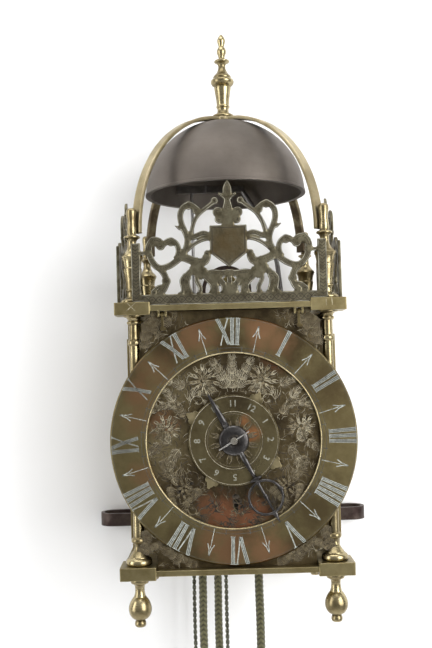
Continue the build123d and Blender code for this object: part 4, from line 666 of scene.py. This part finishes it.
def filling(name, pale, dull, scale, rough, metallic=0.0):
    """What shows in a cut or on a strip: old wax, bare metal, a dark line, or a painted highlight or painted
    shade, in two tones with a crumbled surface.
    """
    material, tree, shader = new_material(name)
    crumbs = blotches(tree, add_node(tree, "TexCoord").outputs["Object"], scale, rough=0.7)
    second_tone_share = ramp(tree, crumbs, 0.38, 0.66)
    bump = add_node(tree, "Bump", {"Strength": 0.4, "Distance": 0.00008, "Height": second_tone_share}).outputs[0]
    skin = {"Base Color": mix(tree, second_tone_share, pale, dull), "Roughness": rough, "Normal": bump}
    plug(tree, shader, {**skin, "Metallic": metallic, "Specular IOR Level": 0.35})
    return material


# The bright and dim strips are painted highlights and the dark strip is painted shade; the bright one also
# colours scratched marks, and the dark one engraved lines.
highlight_and_scratch = filling("highlight_and_scratch", (0.62, 0.56, 0.40), (0.22, 0.18, 0.105), 160.0, 0.38, 0.6)
dim_highlight = filling("dim_highlight", (0.29, 0.24, 0.145), (0.13, 0.10, 0.055), 160.0, 0.45, 0.6)
shade_and_dark_line = filling("shade_and_dark_line", (0.035, 0.028, 0.018), (0.018, 0.014, 0.01), 300.0, 0.75)


def engrave(name, cuts, front, body):
    """Lays cuts into a face parallel to the dial: a furrow of painted shade, then a bright or dim strip of
    painted highlight.
    """
    shades = [(run, 1.25 * width, tone) for run, width, tone in cuts]
    shaded = furrows(name + "_shade", shades, on_dial, front, 0.015, shift=shade_shift)
    collect(name + "_shade", shaded, body, shade_and_dark_line, (), smooth=False)
    lit = [(run, 0.56 * width, tone) for run, width, tone in cuts]
    for label, material, low, high in (("_bright", highlight_and_scratch, 0.58, 2.0), ("_dim", dim_highlight, 0.2, 0.58)):
        chosen = [one for one in lit if low <= one[2] < high]
        mesh = furrows(name + label, chosen, on_dial, front, 0.03)
        collect(name + label, mesh, body, material, (), smooth=False)


engrave("dial_engraving", cuts, dial_front, "frame")
dial_brass = metal(
    "dial_brass", (0.15, 0.115, 0.06), (0.042, 0.031, 0.016), 110.0, (0.34, 0.52), 0.6, rounded=0.2, grime=0.3
)
stain(dial_brass, dial_front, (0.25, 0.205, 0.11), (-46, -2, 26, 0.75), (-34, 34, 18, 0.5))
stain(
    dial_brass, dial_front, (0.05, 0.037, 0.022), (0, -34, 26, 0.8), (28, -36, 22, 0.7), (-28, -30, 22, 0.7),
    (0, 78, 50, 0.4), (30, 12, 12, 0.6), (0, 44, 34, 0.75), (-30, 14, 10, 0.5),
)
stain(
    dial_brass, dial_front, (0.27, 0.115, 0.06), (-6, -47, 19, 0.9), (10, -49, 17, 0.9), (-18, -42, 12, 0.6),
    (-46, 12, 13, 0.5), (28, 50, 12, 0.4),
)
finish(dial_brass, "dial_plate")

# --- Chapter ring ---
# A flat brass ring riveted to the dial, engraved with the hours; the cuts are filled with
# wax that has faded to blue-grey. Its copper-coloured patches are painted reflections, and
# its darker patches are painted shade.
ring_front = -69.0
ring_lean = 1.0          # the hours stand this many degrees anticlockwise of true
hour_foot, hour_head = 61.4, 78.4
thick_stroke, thin_stroke, stroke_pitch = 2.3, 0.8, 3.45
slant_half = 3.0         # half the spread of a V or an X
graver_lines, graver_wide = 3, 0.44
serif_foot, serif_head, serif_deep, serif_wide = 61.1, 78.3, 0.4, 2.2
hours = "I II III IIII V VI VII VIII IX X XI XII".split()


def round_dial(clockwise, u, r):
    """A place on the ring: degrees clockwise from the top, mm along the ring, mm from the middle."""
    a = radians(90 + ring_lean - clockwise) - u / 70
    return r * cos(a), r * sin(a)


def slanted(clockwise, foot, head, wide, low=hour_foot, high=hour_head):
    """A straight stroke on the ring, from its foot to its head: places u along it at two radii."""
    points = [round_dial(clockwise, foot + (head - foot) * t, low + (high - low) * t) for t in (0, 0.5, 1)]
    return np.array(points), wide, 1.0


def numeral(clockwise, letters):
    """The strokes of one hour, its feet inwards: broad ones, thin ones and the broad ones' hatching."""
    widths = {"I": stroke_pitch, "V": 2 * slant_half + 1.4, "X": 2 * slant_half + 1.6}
    u = -sum(widths[letter] for letter in letters) / 2
    broad, thin, hatch = [], [], []
    for letter in letters:
        middle = u + widths[letter] / 2
        u += widths[letter]
        foot, head = {"I": (0, 0), "V": (0, -slant_half), "X": (slant_half, -slant_half)}[letter]
        broad.append(slanted(clockwise, middle + foot, middle + head, thick_stroke))
        spread = (thick_stroke - graver_wide) / (graver_lines - 1)
        for line in range(graver_lines):
            beside = middle + spread * (line - (graver_lines - 1) / 2)
            ends = (beside + foot, beside + head)
            hatch.append(slanted(clockwise, *ends, graver_wide, hour_foot + 0.2, hour_head - 0.2))
        if letter == "I":
            for low in (serif_foot, serif_head):
                thin.append(slanted(clockwise, middle, middle, thick_stroke + 0.9, low, low + serif_deep))
        else:
            start = middle + (0.5 if letter == "V" else -slant_half)
            end = middle + slant_half
            thin.append(slanted(clockwise, start, end, thin_stroke))
            for u_end in (end, middle + head):
                thin.append(slanted(clockwise, u_end, u_end, serif_wide, serif_head, serif_head + serif_deep))
    return broad, thin, hatch


pale_wax = filling("pale_wax", (0.34, 0.36, 0.325), (0.14, 0.145, 0.125), 420.0, 0.55)
wax_dirt = [(-92, 0.9), (-62, 0.75), (-118, 0.45), (62, 0.5), (90, 0.5), (-34, 0.35)]
dirty = [(*round_dial(turn, 0, 70), 24, share) for turn, share in wax_dirt]
stain(pale_wax, ring_front, (0.07, 0.068, 0.055), *dirty)
dark_wax = filling("dark_wax", (0.075, 0.078, 0.068), (0.035, 0.033, 0.027), 420.0, 0.6)
broad, thin, hatch = [], [], []
for index, letters in enumerate(hours):
    for strokes, more in zip((broad, thin, hatch), numeral(30 * (index + 1), letters)):
        strokes.extend(more)
arrow_tip, barb_neck, barb_r, barb_half, notch_r, shaft_foot = 75.0, 70.6, 67.4, 2.4, 69.8, 57.6
for index in range(12):
    middle = 30 * index + 15
    thin.append(slanted(middle, 0, 0, 0.42, shaft_foot, notch_r + 0.4))
    for side in (-1, 1):
        barb = [(barb_half, barb_r), (0.75, barb_neck), (0, arrow_tip)]
        thin.append((np.array([round_dial(middle, side * u, r) for u, r in barb]), 0.6, 1.0))
track_in, track_out, edge_line, rim_r = 57.1, 59.4, 78.1, 56.25
tracks = [(circle(r), wide, 1.0) for r, wide in ((track_out, 0.24), (track_in, 0.24), (edge_line, 0.16))]
for index in range(48):
    if index % 4:
        tracks.append(slanted(7.5 * index, 0, 0, 0.4, track_in + 0.1, track_out + 1.0))
for name, strokes, proud, filler in (
    ("hour_strokes", broad, 0.02, dark_wax),
    ("hour_hatching", hatch, 0.035, pale_wax),
    ("hour_thin", thin, 0.035, pale_wax),
    ("quarter_track", tracks, 0.02, dark_wax),
):
    mesh = furrows(name, strokes, on_dial, ring_front, proud, swell=False)
    collect(name, mesh, "frame", filler, (), smooth=False)
# A pale strip standing a little proud round the ring's inner edge: a painted highlight on its chamfer.
rim_highlight_brass = metal("rim_highlight_brass", (0.78, 0.66, 0.40), (0.45, 0.36, 0.18), 60.0, (0.22, 0.4), 0.2)
rim = [(circle(rim_r), 0.6, 1.0)]
mesh = furrows("ring_rim_highlight", rim, on_dial, ring_front, 0.12, swell=False)
collect("ring_rim_highlight", mesh, "frame", rim_highlight_brass, ())

ring_shade_and_reflections = {
    # colour: (degrees clockwise from the top, mm from the middle, radius in mm, strength)
    # darker patches: painted shade
    (0.095, 0.067, 0.034): [
        (-34, 74, 24, 0.85), (2, 62, 24, 0.9), (34, 74, 28, 0.9), (60, 70, 26, 0.7), (-56, 76, 18, 0.5),
        (132, 68, 30, 0.7), (205, 76, 20, 0.6), (-150, 70, 20, 0.5), (176, 60, 16, 0.6),
        (152, 78, 16, 0.7), (-12, 78, 16, 0.6), (14, 79, 14, 0.6),
    ],
    # copper-coloured patches: painted reflections
    (0.34, 0.19, 0.098): [
        (-16, 72, 18, 0.9), (-26, 70, 12, 0.7), (17, 73, 19, 0.95), (27, 70, 14, 0.8), (-46, 68, 17, 0.6),
        (-62, 66, 15, 0.75), (-76, 63, 15, 0.55), (-108, 61, 15, 0.6), (166, 72, 20, 0.9),
        (184, 70, 22, 0.95), (196, 66, 14, 0.7),
    ],
}
ring_brass = metal(
    "ring_brass", (0.32, 0.262, 0.125), (0.175, 0.138, 0.065), 36.0, (0.26, 0.42), 0.4, rounded=0.25
)
for colour, painted_spots in ring_shade_and_reflections.items():
    stain(ring_brass, ring_front, colour, *[(*round_dial(turn, 0, r), *rest) for turn, r, *rest in painted_spots])
finish(ring_brass, "chapter_ring", "dial_latch_left", "dial_latch_right")

# --- Alarm disc ---
# The alarm's setting disc turns on the hour arbor: a rose in its middle, the hours in figures
# round it, and four cast lugs at its edge to turn it by.
disc_front = -68.4
disc_turn = 11           # the figure that stands at the top
disc_edge, disc_circle, figure_r, figure_size = 28.3, 18.4, 23.4, 5.8
rose_root, rose_long, rose_fat = 7.5, 8.6, 30
cuts = []
for radius, width, bright in ((disc_edge, 0.5, 0.9), (disc_circle, 0.55, 1.0), (disc_circle - 1.4, 0.3, 0.4)):
    cut(circle(radius), width, bright)
for index in range(12):
    heading = 30 * index + 15
    a = radians(heading)
    petal(rose_root * cos(a), rose_root * sin(a), heading, rose_long, rose_fat, 0.4)
    cut(bowed(8 * cos(a), 8 * sin(a), heading + 90, 3, 60, 6), 0.4, 0.4)
engrave("alarm_engraving", cuts, disc_front, "alarm_setting")
disc_brass = metal(
    "alarm_disc_brass", (0.24, 0.20, 0.105), (0.12, 0.095, 0.048), 60.0, (0.26, 0.42), 0.35, rounded=0.5,
    grime=0.4,
)
lug_turns, lug_r = (59.5, 149.5, 240.0, 329.5), 32.0
lugs = [(lug_r * cos(radians(turn)), lug_r * sin(radians(turn)), 6, 1.0) for turn in lug_turns]
stain(disc_brass, disc_front, (0.06, 0.045, 0.027), (0, 0, 22, 0.8), (4, 24, 14, 0.7))
stain(disc_brass, disc_front, (0.5, 0.22, 0.09), (12, 4, 8, 1.0), (7, 12, 6, 0.8))
stain(disc_brass, disc_front, (0.46, 0.385, 0.22), *lugs)
alarm_wax = filling("alarm_wax", (0.22, 0.215, 0.17), (0.10, 0.095, 0.07), 420.0, 0.55)
finish(disc_brass, "alarm_disc")

for figure in range(1, 13):
    heading = radians(90 - 30 * (figure - disc_turn))
    letters = bpy.data.curves.new("figure", "FONT")
    letters.body = str(figure)
    letters.size = figure_size / 1000
    letters.align_x, letters.align_y = "CENTER", "CENTER"
    letters.extrude = 0.0001
    letters.offset = 0.00008
    letters.resolution_u = 4
    holder = bpy.data.objects.new("figure", letters)
    mesh = bpy.data.meshes.new_from_object(holder)
    bpy.data.curves.remove(letters)
    mesh.transform(
        Matrix.Translation(on_dial(figure_r * cos(heading), figure_r * sin(heading), disc_front + 0.07))
        @ Matrix.Rotation(pi / 2 - heading, 4, "Y")
        @ Matrix.Rotation(pi / 2, 4, "X")
    )
    mesh.name = f"alarm_figure_{figure}"
    collect(mesh.name, mesh, "alarm_setting", alarm_wax, (), smooth=False)

# --- Hour hand and its pin ---
# One hand, filed from steel: a round boss, a tapered tail, and a looped point with a collar.
# A tapered pin through the hour arbor holds it on.
hand_turn = radians(-61.9)
hand_back = -70.3
hub_r, hole_r = 9.7, 2.25
loop_middle, loop_r, loop_wire = 41.3, 10.85, 0.85
dark_steel = metal(
    "dark_steel", (0.115, 0.11, 0.107), (0.042, 0.038, 0.037), 160.0, (0.22, 0.45), 0.5, grime=0.4
)
hand_work = bmesh.new()


def on_hand(along, aside, rise):
    """A place on the hand: mm from the arbor towards its point, mm to the left, and mm over its back."""
    x = along * cos(hand_turn) - aside * sin(hand_turn)
    return on_dial(x, along * sin(hand_turn) + aside * cos(hand_turn), hand_back - rise)


def rings_of(rings, close=False):
    """Skins the hand's mesh over rings of places, each ring closed on itself."""
    made = [[hand_work.verts.new(place) for place in ring] for ring in rings]
    pairs = list(zip(made, made[1:])) + ([(made[-1], made[0])] if close else [])
    for ring, after in pairs:
        for k in range(len(ring)):
            hand_work.faces.new((ring[k - 1], ring[k], after[k], after[k - 1]))
    if not close:
        hand_work.faces.new(made[0][::-1])
        hand_work.faces.new(made[-1])


hub_profile = [
    (hole_r, 0.0), (hub_r, 0.0), (hub_r, 0.9), (9.3, 1.35), (8.9, 1.7), (8.2, 2.0), (5.0, 2.15),
    (hole_r, 2.2),
]
hub_rings = []
for turn in np.linspace(0, tau, 72, endpoint=False) - hand_turn:
    hub_rings.append([on_hand(r * cos(turn), r * sin(turn), rise) for r, rise in hub_profile])
rings_of(hub_rings, close=True)
blades = [
    # the bars filed along the hand: stations of (mm along, half width, thickness)
    [(-33.7, 0.35, 0.7), (-32.6, 0.75, 1.0), (-24, 1.5, 1.3), (-16, 2.0, 1.4), (-8, 2.4, 1.4)],
    [(8, 1.9, 1.4), (16, 1.6, 1.4), (24, 1.25, 1.3), (27.4, 1.2, 1.2)],
    [(27.2, 2.6, 1.3), (27.8, 4.2, 1.5), (28.6, 4.4, 1.5), (29.2, 2.8, 1.3)],
    [
        (29.0, 1.5, 1.2), (31.5, 1.0, 1.1), (40.0, 0.75, 1.0), (41.5, 1.4, 1.1), (43.0, 0.7, 1.0),
        (52.5, 0.8, 1.1),
    ],
    [(52.2, 2.0, 1.2), (54.0, 1.4, 1.2), (57.0, 0.7, 0.9), (59.7, 0.15, 0.4)],
    [(loop_middle - 2.6, 0.4, 0.8), (loop_middle - 1.2, 1.6, 1.0), (loop_middle + 0.6, 0.5, 0.8)],
]
section = [(-1, 0.0), (-1, 0.55), (-0.62, 0.95), (0, 1.0), (0.62, 0.95), (1, 0.55), (1, 0.0)]
for stations in blades:
    rings_of([[on_hand(x, half * u, thick * v) for u, v in section] for x, half, thick in stations])
loop_rings = []
for turn in np.linspace(0, tau, 64, endpoint=False):
    ring = []
    for s in np.linspace(0, tau, 10, endpoint=False):
        reach = loop_r + loop_wire * cos(s)
        ring.append(on_hand(loop_middle + reach * cos(turn), reach * sin(turn), 0.65 + 0.65 * sin(s)))
    loop_rings.append(ring)
rings_of(loop_rings, close=True)
for side in (-1, 1):
    knob = []
    for tilt in np.linspace(0.15, pi - 0.15, 7):
        ring = []
        for turn in np.linspace(0, tau, 12, endpoint=False):
            aside = side * (loop_r + 0.4) + 1.3 * sin(tilt) * sin(turn)
            ring.append(on_hand(loop_middle + 1.5 * sin(tilt) * cos(turn), aside, 0.7 + 0.68 * cos(tilt)))
        knob.append(ring)
    rings_of(knob)
bmesh.ops.recalc_face_normals(hand_work, faces=hand_work.faces)
hand_mesh = bpy.data.meshes.new("hour_hand_filed")
hand_work.to_mesh(hand_mesh)
hand_work.free()
collect("hour_hand_filed", hand_mesh, "hour_work", dark_steel, ["hour_hand"])
bright_steel = metal("bright_steel", (0.72, 0.7, 0.66), (0.5, 0.48, 0.45), 200.0, (0.2, 0.35), 0.2)
finish(bright_steel, "hand_pin")
arbor_metal = wheel_brass.copy()
arbor_metal.name = "hour_wheel_metal"
stain(arbor_metal, hand_back, (0.5, 0.47, 0.42), (0, 0, 20, 1.0))
finish(arbor_metal, "hour_wheel")

# --- Bell ---
# The bell is cast in bell metal and left as turned, dull and grey-brown. Its strap is cast in
# brass, four arms from one hub, pegged into the corner finials.
bell_metal = metal(
    "bell_metal", (0.205, 0.18, 0.158), (0.15, 0.13, 0.112), 18.0, (0.52, 0.66), 0.4, (0.1, 0.1, 6.0),
    grime=0.9,
)
finish(bell_metal, "bell")
strap_brass = metal(
    "strap_brass", (0.50, 0.42, 0.26), (0.30, 0.245, 0.13), 40.0, (0.3, 0.46), 0.25, rounded=1.8, grime=0.5
)
# The rear arms are darkened with painted shade, and the right front arm is made a little darker.
arm_places = ((60, 205), (58, 230), (50, 255))
rear_arms = [(at(side * x, x, z), 0.034, 0.95) for side in (-1, 1) for x, z in arm_places]
rub(strap_brass, rear_arms, (0.075, 0.055, 0.035))
right_arm = [(at(x, -x, z), 0.03, 0.8) for x, z in ((61, 205), (58, 232), (50, 255))]
rub(strap_brass, right_arm, (0.27, 0.22, 0.125))
finish(strap_brass, "bell_strap")

# --- Frets ---
# Three cast and pierced brass frets: rounded at their edges, engraved with a line inside every
# outline, hatched leaves, chevrons on the posts, a running guilloche on the foot and a plain shield.
fret_front = -73.5
fret_foot, fret_band = 174.05, 7.0
post_inner, post_outer, post_top = 57.0, 63.0, 40.4
fret_grain = 0.45        # size of the cast skin's facets
edge_roll, edge_drop = 0.9, 0.35
outline_step = 0.4
line_inset, line_wide, vein_inset = 0.95, 0.3, 1.9


def outline_points(mesh, spacing):
    """Places along the front face's outlines, and the way into the metal at each, loop by loop."""
    works = bmesh.new()
    works.from_mesh(mesh)
    bmesh.ops.remove_doubles(works, verts=works.verts, dist=1e-6)
    works.normal_update()
    inward, following = {}, {}
    for edge in works.edges:
        if len(edge.link_faces) != 2:
            continue
        front = [face for face in edge.link_faces if face.normal.y < -0.9]
        if len(front) != 1:
            continue
        for loop in front[0].loops:
            if loop.edge is edge:
                start, end = loop.vert, loop.link_loop_next.vert
        run = end.co - start.co
        following[start] = end
        inward[start] = Vector((run.z, 0, -run.x)).normalized()
        middle = front[0].calc_center_median() - start.co
        if middle.dot(inward[start]) < 0:
            inward[start].negate()
    loops = []
    while following:
        start = next(iter(following))
        places, sides = [], []
        vert = start
        while vert in following:
            after = following.pop(vert)
            count = max(1, round((after.co - vert.co).length / spacing))
            for step in range(count):
                places.append(vert.co.lerp(after.co, step / count))
                sides.append(inward[vert])
            vert = after
        loops.append((np.array(places), np.array(sides)))
    works.free()
    return loops


home = at(0, 0, 0)


def flat_fret(places):
    """Places in the frame as clock millimetres across and up."""
    return (places[:, [0, 2]] - [home.x, home.z]) * 1000


def on_fret(x, z, y):
    """A place on the front fret, in clock millimetres."""
    return at(x, y, z)


fret_source = nodes["front_fret"]
plain_fret = fret_source.data.copy()
plain_fret.transform(fret_source.matrix_world)
loops = outline_points(plain_fret, outline_step / 1000)
edges = np.concatenate([flat_fret(places) for places, _ in loops])
rim_tree = kdtree.KDTree(len(edges))
for index, (x, z) in enumerate(edges):
    rim_tree.insert((x, z, 0), index)
rim_tree.balance()


def inset_runs(inset):
    """Runs of places that lie that far inside the outline, broken where the metal is too narrow."""
    runs = []
    for places, sides in loops:
        sides = sum(np.roll(sides, shift, axis=0) for shift in (-1, 0, 1, 2)) / 4
        line = flat_fret(places) + inset * sides[:, [0, 2]]
        clear = [rim_tree.find((x, z, 0))[2] > 0.86 * inset for x, z in line]
        run = []
        for spot, good in zip(np.concatenate([line, line[:1]]), clear + clear[:1]):
            if good:
                run.append(spot)
            elif run:
                runs.append(run)
                run = []
        runs.append(run)
    return [np.array(run) for run in runs if len(run) > 3]


cuts = []
for run in inset_runs(line_inset):
    cut(run, line_wide, 0.1)
# Pale strips just inside every outline: painted highlights on the rolled edges.
highlights = [(run, 0.4, 1.0) for run in inset_runs(0.55)]
clear_half, clear_low, clear_high = 13, 196, 227     # the leaves' hatching keeps off the shield
for run in inset_runs(vein_inset):
    along = np.gradient(run, axis=0)
    for index in range(1, len(run) - 1, 3):
        x, z = run[index]
        if z < fret_foot + fret_band or abs(x) > post_inner:
            continue
        if abs(x) < clear_half and clear_low < z < clear_high:
            continue
        heading = np.degrees(np.arctan2(along[index][1], along[index][0]))
        cut(bowed(x, z, heading + 60, 1.1, -40, 4), 0.26, 0.1)
half_wave, wave_high = 4.75, 1.9
band_middle = fret_foot + fret_band / 2
sweep = np.linspace(-post_inner + 1, post_inner - 1, 480)
for phase in (0, pi):
    wave = band_middle + wave_high * np.sin(pi * sweep / half_wave + phase)
    cut(np.stack([sweep, wave], axis=1), 0.4, 0.1)
for index in range(-11, 12):
    for turn in (45, 135, 225, 315):
        cut(bowed((index + 0.5) * half_wave, band_middle, turn, 1.0, 30, 4), 0.3, 0.1)
chevron_pitch, chevron_half, chevron_rise = 2.2, 1.8, 1.4
for side in (-1, 1):
    middle = side * (post_inner + post_outer) / 2
    for index in range(int(post_top / chevron_pitch) - 1):
        z = fret_foot + 2.4 + chevron_pitch * index
        for way in (-1, 1):
            arm = np.linspace((middle, z), (middle + way * chevron_half, z + chevron_rise), 3)
            cut(arm, 0.34, 0.1)
wide, side_foot, top, point = 10.4, 33.4, 49.0, 25.6
shield = [(-wide, top), (wide, top), (wide, side_foot), (0, point), (-wide, side_foot), (-wide, top)]
for start, end in zip(shield, shield[1:]):
    ends = np.array([start, end]) + (0, fret_foot)
    cut(np.linspace(*ends, 5), 0.4, 0.1)
fret_lines = furrows("fret_lines", cuts, on_fret, fret_front, 0.02, 0.2, swell=False)
fret_lights = furrows("fret_lights", highlights, on_fret, fret_front, 0.03, 0.3)

holder = bpy.data.objects.new("fret_form", plain_fret)
bpy.context.scene.collection.objects.link(holder)
skin = holder.modifiers.new("skin", "REMESH")
skin.mode = "VOXEL"
skin.voxel_size = fret_grain / 1000
bpy.context.view_layer.update()
fret_mesh = bpy.data.meshes.new_from_object(holder.evaluated_get(bpy.context.evaluated_depsgraph_get()))
bpy.data.objects.remove(holder)
fret_mesh.materials.clear()
front_y = at(0, fret_front, 0).y
for vert in fret_mesh.vertices:
    if vert.co.y > front_y + 0.0004:
        continue
    x, z = (vert.co.x - home.x) * 1000, (vert.co.z - home.z) * 1000
    away = min(rim_tree.find((x, z, 0))[2] / edge_roll, 1.0)
    vert.co.y = max(vert.co.y, front_y) + edge_drop / 1000 * (1 - away) ** 2

fret_brass = metal(
    "fret_brass", (0.21, 0.188, 0.124), (0.075, 0.064, 0.04), 190.0, (0.34, 0.54), 0.9, rounded=0.0,
    grime=0.75,
)
fret_highlight = filling("fret_highlight", (0.42, 0.40, 0.31), (0.13, 0.12, 0.085), 170.0, 0.4, 0.5)
shields = [(0, fret_front), (fret_front, 0), (-fret_front, 0)]
rub(fret_brass, [(at(x, y, fret_foot + 38), 0.02, 0.85) for x, y in shields], (0.12, 0.085, 0.04))
layers = (
    # (name's ending, mesh, material, smooth)
    ("_cast", fret_mesh, fret_brass, True),
    ("_lines", fret_lines, shade_and_dark_line, False),
    ("_lights", fret_lights, fret_highlight, False),
)
for name, degrees in (("front_fret", 0), ("left_fret", -90), ("right_fret", 90)):
    swing = Matrix.Rotation(radians(degrees), 4, "Z")
    swing = Matrix.Translation(home) @ swing @ Matrix.Translation(-home)
    for ending, form, material, smooth in layers:
        mesh = form.copy()
        mesh.transform(swing)
        stands_for = [name] if form == fret_mesh else []
        collect(name + ending, mesh, "frame", material, stands_for, smooth)

# --- Marks on the blocks ---
# The maker's setting-out strokes: a cross on one front block of the top plate and two strokes
# on the other, scratched into the filed brass with a steel point.
block_front = -74.5
low, high = 170.9, 176.0
scratches = [
    ((-66.5, low), (-60.5, high)), ((-66.0, high), (-61.0, low)),
    ((61.5, low), (61.3, high)), ((65.3, low + 0.3), (65.0, high)),
]
marks = [(np.linspace(start, end, 6), 0.38, 1.0) for start, end in scratches]
mesh = furrows("block_marks", marks, on_fret, block_front, 0.03)
collect("block_marks", mesh, "frame", highlight_and_scratch, (), smooth=False)
